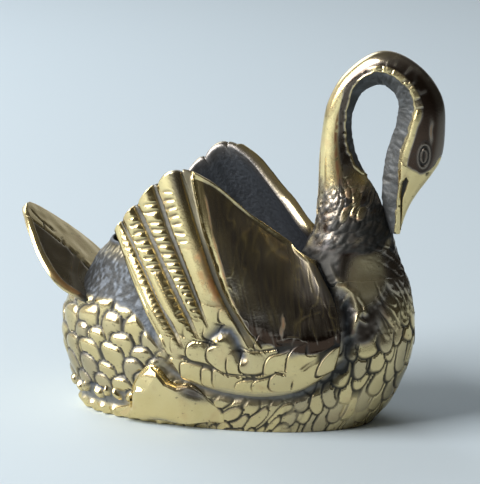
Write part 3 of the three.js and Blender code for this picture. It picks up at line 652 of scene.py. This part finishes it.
# How thick the wing is in mm. It is rolled down to a thin edge all round.
EDGE_THICKNESS = 0.5
roll = np.minimum(np.minimum(smooth(up, 0, 0.1), smooth(fore, -0.01, 0.03)), smooth(1 - fore, -0.01, 0.06))
roll = np.minimum(roll, 0.45 + 0.55 * smooth(from_rim, 0, 0.4))
thickness = (
    1.3 + 1.15 * dome * long
    - 0.3 * barred * bar_groove * (0.4 + 0.6 * dome) * np.where(first, 0.25, 1)
    + 0.38 * np.maximum(crease, panel)
    + 0.42 * small_rows * (small * smooth(small_in, 0, 0.5) - 0.8) * small_broken
    + 0.5 * (1 - long) * (1 - panel) + 0.32 * panel * fade(flat_z, 15.5, 21.5)
    + 0.1 * small_rows * mottle(flat_x, flat_z, 2.5, 60) - 0.7 * pocket + 0.5 * bright_lump
    + panel * panel_rise * (1 - rim_band_and_painted_highlight) + (0.45 + 0.3 * smooth(fore, 0.58, 0.72)) * rim_band_and_painted_highlight
    + 0.05 * score + 0.03 * scratch)
thickness = EDGE_THICKNESS + (thickness - EDGE_THICKNESS) * np.sqrt(roll)
outer = inside + outward(inside, [0, 1, 0]) * thickness[..., None]
fore_in, up_in = np.meshgrid(wing_share, np.linspace(1, 0, WING_IN), indexing="ij")
back = wing_inside(fore_in, up_in)
back_lumps = 0.1 * (1 + mottle(fore_in * 60, up_in * 30, 1.6, 67))
back[..., 1] -= back_lumps * smooth(up_in, 0.02, 0.1) * smooth(1 - up_in, 0, 0.05)
loops = np.concatenate([outer, back], 1)

blotch = smooth(mottle(flat_x + 0.4 * flat_z, 0.4 * flat_z, 0.6, 72)
                + 0.5 * mottle(flat_x, flat_z, 0.4, 74), -0.9, 0.7)
flake = bell(flat_x - 12.7 - 0.3 * mottle(flat_z, flat_x, 1.2, 71), 0.35)
flake = flake * smooth(flat_z, 16.3, 17) * fade(flat_z, 21, 23) * panel * blotch
streak = bell(fore - crease_at - gold_band - 0.003, 0.007 + 0.003 * mottle(up * 40, fore * 40, 2, 70))
streak = panel * streak * smooth(up, 0.36, 0.5) * fade(up, 0.86, 0.94)
wing_cut = (
    0.95 * small_rows * small_groove * smooth(up, 0.03, 0.08)
    + 0.8 * barred * bar_groove * np.where(first, 0.7, 1)
    + 0.3 * gulley + valley * 0.75 * fade(up, 0.62, 0.8) + 0.25 * pocket
    + 0.6 * panel * smooth(fore, 0.74, 0.88) * smooth(up, 0.6, 0.76) * (1 - 0.7 * rim_band_and_painted_highlight))
wing_skin = np.clip(
    0.8 * gulley + 0.6 * valley + 0.95 * pocket * (1 - bright_lump) + 0.5 * fade(up, 0, 0.05), 0, 1)
# The panel's brown: partly tarnish, partly painted shade.
panel_tone_and_painted_shade = (
    0.55 + 0.2 * panel_streak - 0.4 * scratch - 0.3 * streak + 0.2 * uneven + 0.4 * fade(up, 0.36, 0.46)
    - 0.4 * flake)
# The right half of the fourth feather's top is toned dark: painted shade.
wing_tone = (
    panel_tone_and_painted_shade * past_band * (1 - rim_band_and_painted_highlight) * (1 - 0.5 * score) + 0.15 * small_rows * small_tone
    + 0.5 * fourth * smooth(across, -0.2, 0.5) * smooth(up, 0.78, 0.92))
wing_copper = (
    0.9 * flake
    + 0.9 * streak * smooth(mottle(fore * 40, up * 30, 2.5, 68), -0.9, 0) * (0.3 + 0.7 * blotch)
    + 0.75 * fourth * long * smooth(across + 0.4 * blotch, 0, 0.8) * (0.45 + 0.55 * blotch)
    * fade(up, 0.6, 0.74))
for name, sign in [("left", 1), ("right", -1)]:
    wing = casting(name + "_feathered_wing", loops * [1, sign, 1], {
        "cut": np.concatenate([wing_cut, 0.6 * fade(up_in, 0.93, 1)], 1),
        "skin": np.concatenate([wing_skin * (1 - crease), 0.95 - 0.6 * smooth(up_in, 0.9, 1)], 1),
        "toned": np.concatenate([wing_tone, 0.7 + 0 * fore_in], 1),
        "copper": np.concatenate([wing_copper, 0 * fore_in], 1)})
    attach(wing, "root")
    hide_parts(name + "_wing")

# The neck, head and bill
# One solid casting bent in a hook so that the bill comes down on the throat, spigoted and
# brazed on the shoulders. Its outer side is buffed, and the inner side keeps the grey skin of
# the mould behind a ragged parting ridge. Eye, bill line and nostril are chased in.
NECK = [
    [21, 27.3, 8.7, 10.2, 8.6], [20.9, 31.5, 8.3, 8.5, 6.9], [20.6, 36, 6.2, 7.4, 5.3],
    [19.9, 41, 5, 6, 4.1], [19.2, 45, 4.1, 4.2, 3.3], [18.7, 49, 3.4, 3.1, 2.8],
    [18.6, 53, 2.8, 2.5, 2.5], [19.4, 57.2, 2.7, 2.1, 2.4], [21.6, 61.6, 2.3, 2.3, 2.4],
    [26.8, 64.3, 3.1, 3, 2.6], [31.2, 62.4, 3.3, 3.4, 2.7], [33.7, 58.4, 3.9, 4.3, 2.9],
    [33.8, 54, 4.2, 4.7, 3.2], [33.1, 50.2, 4.5, 5.1, 3.1], [32.1, 47, 3.8, 5, 2.6],
    [31.1, 43.8, 2.7, 4.4, 2], [30.3, 40.7, 1.7, 3.7, 1.6], [29.7, 37.7, 1.1, 2.6, 1.2],
    [29.4, 34.9, 0.7, 1.8, 0.8]]  # x, z and the outer, inner and side reach at each station
KEEL = [[0, 0], [0.06, 0], [0.26, 0.7], [0.78, 0.7], [1, 0.3]]
PARTING = [
    [0, 1.6], [3.4, 1.2], [4.4, 0.78], [6, 0.62], [7.2, 0.52], [8.4, 0.12], [9.2, 0], [10.5, 0], [12, 0.3],
    [13.3, 0.38], [14.6, 0.22], [16.2, 0.05], [18, 0]]
HEAD_STATION = 9
NECK_RINGS, NECK_SIDES, ROOT_RINGS = 560, 150, 14


def carried(points, place):
    """A smooth path through points: a cubic between each two, with slopes for steps as long as
    the square root of the distance between points, and the ends run on straight."""
    p = np.array(points, float)
    p = np.vstack([2 * p[0] - p[1], p, 2 * p[-1] - p[-2]])
    i = np.clip(np.floor(place * (len(p) - 3)).astype(int), 0, len(p) - 4)
    t = (place * (len(p) - 3) - i)[:, None]
    a, b, c, d = p[i], p[i + 1], p[i + 2], p[i + 3]
    ab, bc, cd = (np.sqrt(np.linalg.norm(v - w, axis=1))[:, None] for v, w in [(b, a), (c, b), (d, c)])
    go = ((b - a) / ab - (c - a) / (ab + bc) + (c - b) / bc) * bc
    come = ((c - b) / bc - (d - b) / (bc + cd) + (d - c) / cd) * bc
    return b + go * t + (3 * c - 3 * b - 2 * go - come) * t ** 2 + (2 * b - 2 * c + go + come) * t ** 3


at = np.linspace(0, 1, NECK_RINGS)
path = carried([row[:2] for row in NECK], at)
size = carried([row[2:] for row in NECK], at)
way = np.gradient(path, axis=0)
way = way / np.linalg.norm(way, axis=1, keepdims=True)
angle = np.linspace(0, 2 * np.pi, NECK_SIDES, endpoint=False)[None, :]
cosine, sine = np.cos(angle), np.sin(angle)
keel = through(KEEL, at)[:, None]
inward = cosine * (1 - keel) + (np.abs(sine) - 1) * keel
reach = np.where(cosine > 0, cosine * size[:, :1], inward * size[:, 1:2])
neck = np.stack([path[:, :1] - way[:, 1:] * reach, sine * size[:, 2:], path[:, 1:] + way[:, :1] * reach], -1)

# Its foot takes the pinched outline of the shoulders where it stands on them, and goes on down
# into them as a short root.
ROOT_X, ROOT_Z, _, ROOT_AHEAD, ROOT_SIDE = NECK[0]
ROOT_DEPTH = 2.6
ahead_share = np.clip(-cosine, 0.01, 0.99)
foot_width = hull_width(ROOT_X + ROOT_AHEAD * ahead_share, SHOULDER + 0 * cosine)
foot_width = foot_width / (ROOT_SIDE * np.sqrt(1 - ahead_share ** 2))
foot_width = np.where(cosine < 0, np.minimum(foot_width, 1), 1)
neck[..., 1] *= 1 + (foot_width - 1) * fade(neck[..., 2], ROOT_Z, 35) * (at[:, None] < 0.3)
drop = np.linspace(1, 0, ROOT_RINGS, endpoint=False)[:, None, None]
middle = np.array([ROOT_X, 0, ROOT_Z])
root = middle + (neck[:1] - middle) * [1, 1, 0] * (1 + 0.1 * drop - 0.24 * drop ** 2)
neck = np.concatenate([root - [0, 0, ROOT_DEPTH] * drop, neck], 0)
at = np.r_[np.zeros(ROOT_RINGS), at][:, None] + 0 * angle
station = at * (len(NECK) - 1)
x, y, z = neck[..., 0], neck[..., 1], neck[..., 2]
lengthwise = np.r_[0, np.cumsum(np.linalg.norm(np.diff(neck[:, 0], axis=0), axis=1))][:, None] + 0 * angle
half_turn = np.where(angle > np.pi, angle - 2 * np.pi, angle)
around = half_turn * np.r_[np.full(ROOT_RINGS, 8.0), size[:, 2]][:, None]

# The ragged parting between the buffed outer side and the raw inner one. On the head it turns
# into a smooth bead, and a band along the bead is left untoned as a painted highlight.
inner_share = np.where(cosine < 0, -np.concatenate([np.repeat(inward[:1], ROOT_RINGS, 0), inward]), 0)
parting = through(PARTING, station)
ragged = 0.05 * mottle(lengthwise, around, 0.9, 71)
raw = smooth(inner_share + ragged, parting, parting + 0.09)
buffed = 1 - raw
parting_ridge = bell(inner_share + ragged - parting, 0.05) * (station > 3) * (cosine < 0.3)
edge_bead = smooth(station, 10.8, 11.6) * fade(station, 14.3, 15.5)
past_side = np.where(cosine < 0, inner_share, -0.6 * cosine)
bead_and_painted_highlight = edge_bead * bell(past_side - parting + 0.11, 0.15)

# The lower neck: small plumes, buffed bright ahead and dark at the throat, above the ends of
# the ridge, the bulge and the barbs that come up from the breast.
WING_ROOT = [(16.2, 40.2), (16.1, 37.8), (15.9, 35.4), (14.6, 33.3), (13.4, 31)]
plume, plume_in, plume_tone = scales(
    around + 0.6 * mottle(lengthwise, around, 2, 73), -lengthwise,
    width=1.5, length=1.9, lap=0.3, seed=79, wander=0.5)
plume_groove = fade(plume_in, 0.05, 0.3)
granular = mottle(lengthwise, around, 0.8, 89)
lower = fade(z + 2.5 * mottle(lengthwise, around, 2.5, 83), 40, 46) * (station < HEAD_STATION)
plumed = lower * smooth(z + 1.5 * mottle(lengthwise, around, 2, 84), 31.5, 34.5)
bright = plumed * smooth(plume_tone, 0.1, 0.35) * smooth(x, 20, 21.2) * fade(x, 23.6, 25) * smooth(z, 36, 38)
throat = plumed * (1 - 0.8 * bright) * smooth(x, 18, 21) * fade(z + 1.2 * mottle(x, z, 1.6, 85), 37, 40)
foot = (station < 4) * fade(z, 31.5, 34.5)
valley_foot = foot * fade(x, 20.4, 22) * fade(z, 31, 34)
root_ridge = (station < 6) * bell(from_line(x, z, WING_ROOT), 0.45)
foot_ridge = (station < 3) * bell(from_line(x, z, RIDGE), 0.42) * fade(z, 29, 31)
# The bulge at the neck's foot is raised, and painted greyer and less brown below: a painted reflection.
foot_bulge_and_painted_reflection = (station < 4) * swelling(x, z) * smooth(np.abs(y), 2, 4)
neck_barb, neck_barb_in = slanting_barbs(np.abs(y), z)
neck_barbs = foot * (x > 22) * fade(np.abs(y), 4.5, 6.5) * (1 - foot_bulge_and_painted_reflection)

# The face: a slit eye between two ringed lids, the bill line, the mouth and a nostril. It is
# laid out in the side view, slanted back with the width of the head.
EYE_X, EYE_Z = 34.15, 49.6
BILL_LINE = [[30.2, 48.5], [30.7, 48], [32, 47.1], [33.6, 46.4], [35.5, 47.1], [37.2, 49.2]]
MOUTH = [[35, 30.25], [37, 30.3], [41.5, 30.2], [43.3, 30.5], [45.1, 30.95]]
head = (station > HEAD_STATION).astype(float)
face_x = x - 0.325 * np.abs(y)
eye = np.hypot((face_x - EYE_X) / 1.15, (z - EYE_Z - 0.25 * (face_x - EYE_X)) / 2.25) + 4 * (1 - head)
eye_ring, lid_ring, eye_shadow = bell(eye - 0.95, 0.13), bell(eye - 0.5, 0.13), bell(eye - 1.2, 0.12)
eye_dip = bell(eye - 0.73, 0.12) * (eye < 1)
slit = bell(face_x - EYE_X, 0.16) * (eye < 0.42)
bill_line = through(BILL_LINE, face_x)
bill = head * smooth(bill_line - z + 0.3 * mottle(face_x, z, 0.8, 87), -0.35, 0.35)
bill_cut = head * buffed * bell(z - bill_line, 0.2)
mouth_half = 0.14 + 0.3 * smooth(z, 40.5, 43.5) * fade(z, 44.6, 45.4)
mouth = fade(np.abs(face_x - through(MOUTH, z)), mouth_half * 0.7, mouth_half * 1.5)
mouth = head * mouth * (z < 45.5) * (z > 35.6)
nostril = head * bell(face_x - 34.9, 0.3, z - 46.1, 0.35)

plume_depth = 0.2 * smooth(x, 17, 21) + 0.3 * bright
neck_relief = (
    plumed * (plume_depth * (plume * smooth(plume_in, 0, 0.35) - 0.5) + 0.08 * granular) * buffed
    + (0.1 + 0.12 * valley_foot) * foot * (1 - foot_bulge_and_painted_reflection)
    * (mottle(lengthwise, around, 1.3, 88) + 0.5 * granular)
    + raw * 0.08 * granular + 0.26 * parting_ridge * (1 - edge_bead) + 0.45 * bead_and_painted_highlight
    + 0.35 * foot_bulge_and_painted_reflection + 0.3 * foot_ridge + 0.2 * root_ridge - 0.03 * fade(z, ROOT_Z, 30)
    + 0.35 * neck_barbs * (neck_barb * smooth(neck_barb_in, 0, 0.5) - 0.6)
    + 0.14 * eye_ring + 0.1 * lid_ring - 0.2 * eye_dip - 0.2 * slit
    - 0.08 * bill_cut - 0.5 * mouth - 0.3 * nostril) * smooth(1 - at, 0, 0.01)
neck = neck + outward(neck, neck - neck.mean(1, keepdims=True)) * neck_relief[..., None]

top_fade = smooth(station, 7.6, 10.2)
arch = smooth(station, 6, 8.5)
head_bloom = head * bell(face_x - 35.4 + 0.3 * mottle(z, face_x, 1.5, 90), 0.3, z - 54, 1.6)
dark_side = (1 - top_fade) * buffed * smooth(-cosine + 0.95 * arch, 0.4, 0.65) * smooth(station, 3.6, 4.8)
neck_bloom = buffed * bell(cosine + 0.27, 0.22) * (station > 3.6) * fade(station, 6.3, 7.3)
neck_bloom = neck_bloom * smooth(granular, -1.2, 0.2)
# On the head its outer edge is toned a little less: a painted reflection.
neck_tone = (
    top_fade * buffed * (1 - bill) * (1 - 0.2 * smooth(cosine, 0.7, 0.95) - 0.75 * head_bloom)
    + 0.84 * foot - 0.76 * foot_bulge_and_painted_reflection
    + plumed * (0.62 + 0.35 * (1 - plume_tone)) * (1 - 0.6 * bright) + 0.9 * dark_side)
# Along the bead the tone is taken off: a painted highlight.
neck_tone = neck_tone * (1 - 0.4 * root_ridge) * (1 - 0.6 * foot_ridge) * fade(bead_and_painted_highlight, 0.12, 0.42)
neck_piece = casting("neck_and_hooked_head", neck, {
    "cut": 0.85 * plumed * plume_groove + 0.5 * plumed * (1 - bright) * smooth(granular, -0.5, 0.5)
    + 0.85 * throat + 0.35 * neck_bloom + 0.95 * valley_foot + eye_dip + slit + 0.3 * bill_cut + mouth
    + nostril + 0.5 * eye_shadow + 0.8 * neck_barbs * fade(neck_barb_in, 0.08, 0.35)
    + (0.4 * dark_side + 0.3 * top_fade * buffed * smooth(-cosine, -0.3, 0)) * smooth(granular, 0, 0.6)
    + raw * (0.5 + 0.25 * mottle(lengthwise, around, 1.7, 86)) + 0.12 * top_fade * buffed * (1 - bill),
    "skin": 0.9 * raw - 0.6 * parting_ridge + 0.45 * plumed * (1 - bright) * smooth(granular, -0.2, 0.6)
    + 0.36 * foot_bulge_and_painted_reflection + 0.25 * valley_foot,
    "toned": neck_tone * (1 - parting_ridge) - 0.25 * eye_ring - 0.2 * lid_ring,
    "copper": 0.85 * neck_bloom + 0.9 * head_bloom + 0.7 * bright * smooth(granular, -0.5, 0.4)})
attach(neck_piece, "root")
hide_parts("neck_and_head")

# The tail
# A pointed fan, cast and brazed into a slot high on the rump. Two barbed veins are cut along the
# top, which falls a little to each side of the longer vein, and a smooth border is raised on the
# swan's right.
TAIL_ROOT, TAIL_TIP = np.array([-25.3, 0, 20.4]), np.array([-40.6, 0, 35.5])
TAIL_LENGTH = 21.5
TAIL_WIDTH = [
    [0, 10], [0.08, 11.6], [0.3, 12.5], [0.53, 11], [0.75, 7.9], [0.91, 4.7], [0.97, 2.8], [1, 1.2]]
LONG_VEIN = [[0.3, -0.6], [0.5, -1.4], [0.7, -3.2], [0.86, -4.6]]
SHORT_VEIN = [[0.93, -1.6], [0.8, -1.5], [0.66, -0.6]]
BARBS_AT = [0.72, 0.52, 0.37, 0.27, 0.17]
HALF_THICKNESS, FOLD_SLOPE, FOLD_ROUNDING = 0.7, 0.078, 0.6
TAIL_ROWS, TAIL_SIDES = 240, 170
slope = np.arctan2(TAIL_TIP[2] - TAIL_ROOT[2], TAIL_TIP[0] - TAIL_ROOT[0])
rise_way = np.array([np.sin(slope), 0, -np.cos(slope)])
to_tip = np.linspace(-0.04, 1, TAIL_ROWS)[:, None]
ring = np.linspace(0, 1, TAIL_SIDES, endpoint=False)[None, :]
crosswise = np.sign(np.cos(2 * np.pi * ring)) * np.abs(np.cos(2 * np.pi * ring)) ** 0.8
upper = np.sign(np.sin(2 * np.pi * ring)) * (1 - np.abs(crosswise) ** 7) ** 0.5
half_width = through(TAIL_WIDTH, to_tip)
sideways = crosswise * half_width
span = to_tip * TAIL_LENGTH
border = fade(half_width - np.abs(sideways), 1.0, 1.9) * smooth(to_tip, 0.02, 0.1)
from_fold = through([[0, 0]] + LONG_VEIN, to_tip) - sideways
right_half = smooth(from_fold, -0.2, 0.5)
veins = [[(place * TAIL_LENGTH, side) for place, side in vein]
         for vein in (SHORT_VEIN, LONG_VEIN[::-1] + [[0.12, -0.2]])]
vein_groove = bell(np.min([from_line(span, sideways, vein) for vein in veins], 0), 0.2)
vein_barbs = [[(place * TAIL_LENGTH, through([[0.1, -0.2]] + LONG_VEIN, place)),
               (place * TAIL_LENGTH + 1.3, 1.2 - 3.4 * place)] for place in BARBS_AT]
vein_barb_groove = 0.8 * bell(np.min([from_line(span, sideways, line) for line in vein_barbs], 0), 0.22)
streaks = mottle(span - 0.45 * sideways, 0.15 * sideways, 1.7, 96)
ribs = smooth(upper, 0, 0.4) * smooth(1 - to_tip, 0.04, 0.14)
tail_relief = ribs * (
    0.4 * border * (0.1 + 0.9 * right_half) - 0.3 * vein_groove - 0.25 * vein_barb_groove
    + 0.1 * right_half * (1 - border) * streaks - 0.05)
fall = FOLD_SLOPE * (np.hypot(from_fold, FOLD_ROUNDING) - FOLD_ROUNDING)
lift = (HALF_THICKNESS * upper - fall * smooth(to_tip, 0, 0.3) + tail_relief
        + 0.05 * mottle(span, sideways, 2, 97))
tail = (TAIL_ROOT + (TAIL_TIP - TAIL_ROOT) * to_tip[..., None] + rise_way * lift[..., None]
        + np.array([0, 1, 0]) * sideways[..., None])
# The half on the swan's right of the long vein is toned and cut darker: painted shade, with streaks in it.
tail_piece = casting("tail_fan_plate", tail, {
    "cut": ribs * (vein_groove + vein_barb_groove)
    + ribs * right_half * (1 - border) * (0.1 + 0.3 * smooth(-streaks, 0, 0.6)),
    "skin": 0.9 * fade(to_tip, 0, 0.16) + 0.3 * (upper < 0)
    + 0.25 * ribs * right_half * smooth(streaks, 0.2, 0.8),
    "toned": ribs * (1 - border) * 0.5 * right_half,
    "copper": 0.6 * ribs * right_half * border * fade(to_tip, 0.3, 0.5)})
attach(tail_piece, "root")
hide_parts("tail_fan")

# The feet
# A small webbed foot brazed on each flank below the rump, filed to a smooth wedge with a
# raised rear edge.
FOOT_OUTLINE = [
    [-19, 2], [-15.6, 3.4], [-15.3, 6], [-13.6, 9.4], [-11.4, 11.3], [-9.6, 10.6], [-8, 8.8], [-6, 8.2],
    [-4, 8.4], [-1.4, 6.6], [2, 3]]
FOOT_REAR = [[1, -19], [3.4, -15.8], [6, -15.3], [9.4, -13.6], [11.3, -11.4]]
SOLE, FOOT_DEPTH = 1.2, 1.0
along_edge, up = np.meshgrid(np.linspace(0, 1, 190), np.linspace(0, 1, 80), indexing="ij")
crown = bend(FOOT_OUTLINE, along_edge)
x, z = crown[..., 0], SOLE + (crown[..., 1] - SOLE) * up
inside = np.stack([x, hull_width(x, z) + 0.1, z], -1)
edge_in = np.clip(from_line(x, z, FOOT_OUTLINE) / 0.9, 0, 1)
round_edge = np.sqrt(np.clip(1 - (1 - edge_in) ** 2, 0, 1)) * smooth(z, 1.1, 1.6)
from_rear = x - through(FOOT_REAR, z)
facet = (np.clip(from_rear / 3.6, 0, 1) * smooth(z, 6.4, 7.4)
         + fade(z, 6.4, 7.4) * np.clip(from_rear / 1.4, 0, 1))
into_body = fade(x, -5.5, 1)
# A dip below the foot's top edge, painted dark brown with some copper: a painted shadow under the lip.
saddle_and_painted_shadow = bell(x + 3.2, 2.4, z - 7.0 + 0.35 * (x + 3.2), 1.0)
# A notch at the sole, painted dark: a painted shadow under the foot.
notch_and_painted_shadow = bell(x + 9.5, 2.6, z - SOLE, 0.8)
rise = 0.45 * into_body - 0.25 + 1.4 * round_edge * (0.35 + 0.65 * facet) * (0.1 + 0.9 * into_body)
rise = rise + 0.1 * mottle(x, z, 3, 101) * round_edge - 0.5 * saddle_and_painted_shadow * round_edge - 0.6 * notch_and_painted_shadow
face = outward(inside, [0, 1, 0])
loops = np.concatenate([inside + face * rise[..., None], inside[:, ::-1] - face[:, ::-1] * FOOT_DEPTH], 1)
for name, sign in [("left", 1), ("right", -1)]:
    foot = casting(name + "_webbed_foot", loops * [1, sign, 1], {
        finish: np.concatenate([seen, 0 * notch_and_painted_shadow], 1) for finish, seen in [
            ("cut", 0.6 * notch_and_painted_shadow + 0.25 * saddle_and_painted_shadow), ("skin", 0.4 * fade(round_edge, 0, 0.3)),
            ("toned", 0.4 * notch_and_painted_shadow + 0.9 * saddle_and_painted_shadow), ("copper", 0.5 * saddle_and_painted_shadow * smooth(z, 6.8, 7.8))]})
    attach(foot, "root")
    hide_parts(name + "_foot")

# The table and the light
# A matt pale blue-grey table top that runs back out of sight, daylight from a large window on
# the left, and a dim room on the right and behind the camera, with a dim ceiling.
table_paint = bpy.data.materials.new("matt_pale_table_paint")
table_paint.use_nodes = True
paint = table_paint.node_tree.nodes["Principled BSDF"]
paint.inputs["Base Color"].default_value = shade("#CBD7DF")
paint.inputs["Roughness"].default_value = 0.85
paint.inputs["Specular IOR Level"].default_value = 0.2
TABLE_RADIUS, TABLE_GAP, TABLE_SIDES = 4, 0.00005, 96
turns = np.linspace(0, 2 * np.pi, TABLE_SIDES, endpoint=False)
table_rim = np.stack([TABLE_RADIUS * np.cos(turns), TABLE_RADIUS * np.sin(turns), 0 * turns - TABLE_GAP], -1)
table_mesh = bpy.data.meshes.new("table_top")
table_mesh.from_pydata(table_rim.tolist(), [], [list(range(TABLE_SIDES))])
table_mesh.materials.append(table_paint)
table = in_scene("table_top", table_mesh)

room = bpy.data.worlds.new("dim_room_with_window_side")
bpy.context.scene.world = room
room.use_nodes = True
room.node_tree.nodes.clear()
aim = add(room, "TexCoord").outputs["Generated"]
to_window = add(room, "VectorMath", {
    0: aim, 1: (-0.76, 0.65, -0.4)}, operation="DOT_PRODUCT").outputs["Value"]
upward = add(room, "SeparateXYZ", {0: aim}).outputs["Z"]
window_share, ceiling_share = [
    add(room, "MapRange", {"Value": toward, "From Min": start, "From Max": 0.95},
        interpolation_type="SMOOTHSTEP").outputs["Result"]
    for toward, start in [(to_window, 0.1), (upward, 0.5)]]
walls = add(room, "Mix", {
    0: window_share, 6: shade("#454440"), 7: shade("#F2F6F8")}, data_type="RGBA").outputs[2]
room_colour = add(room, "Mix", {
    0: ceiling_share, 6: walls, 7: shade("#6C6B67")}, data_type="RGBA").outputs[2]
glow = add(room, "Background", {"Color": room_colour, "Strength": 0.93})
add(room, "OutputWorld", {"Surface": glow.outputs["Background"]})


def lamp(name, spot, aim, size, power, colour):
    """A square soft lamp at spot (m), turned to face aim."""
    light = bpy.data.lights.new(name, "AREA")
    light.shape, light.size, light.energy = "SQUARE", size, power
    light.color = shade(colour)[:3]
    made = in_scene(name, light)
    made.location = spot
    made.rotation_euler = (Vector(aim) - Vector(spot)).to_track_quat("-Z", "Y").to_euler()


lamp("window_left", (-0.6, -0.44, 0.45), (0, 0, 0.03), 0.63, 13.6, "#F9F9F8")
lamp("window_far_left", (-0.4, 0.36, 0.35), (0, 0, 0.03), 0.35, 1.3, "#F0F7FD")

# The camera
# Set where the photographer stood: 600 mm away, 18 degrees round from the swan's right side
# towards its breast and 13 degrees above the table.
DISTANCE, VIEW_WIDTH, SENSOR = 600, 88, 36
PIXELS_PER_METRE = 5500  # at the swan
turned, raised = np.radians(18), np.radians(13)
right = Vector((np.cos(turned), np.sin(turned), 0))
back_way = Vector((np.sin(turned) * np.cos(raised), -np.cos(turned) * np.cos(raised), np.sin(raised)))
over = back_way.cross(right)
looked_at = Vector((TO_MIDDLE / 1000, 0, 0)) + over * (167 / PIXELS_PER_METRE)
looked_at = looked_at + right * (2 / PIXELS_PER_METRE)
camera = in_scene("camera", bpy.data.cameras.new("camera"))
camera.location = looked_at + back_way * (DISTANCE / 1000)
camera.rotation_euler = Matrix((right, over, back_way)).transposed().to_euler()
camera.data.sensor_width = SENSOR
camera.data.lens = SENSOR * DISTANCE / VIEW_WIDTH
bpy.context.scene.camera = camera
bpy.context.scene.view_settings.view_transform = "Standard"
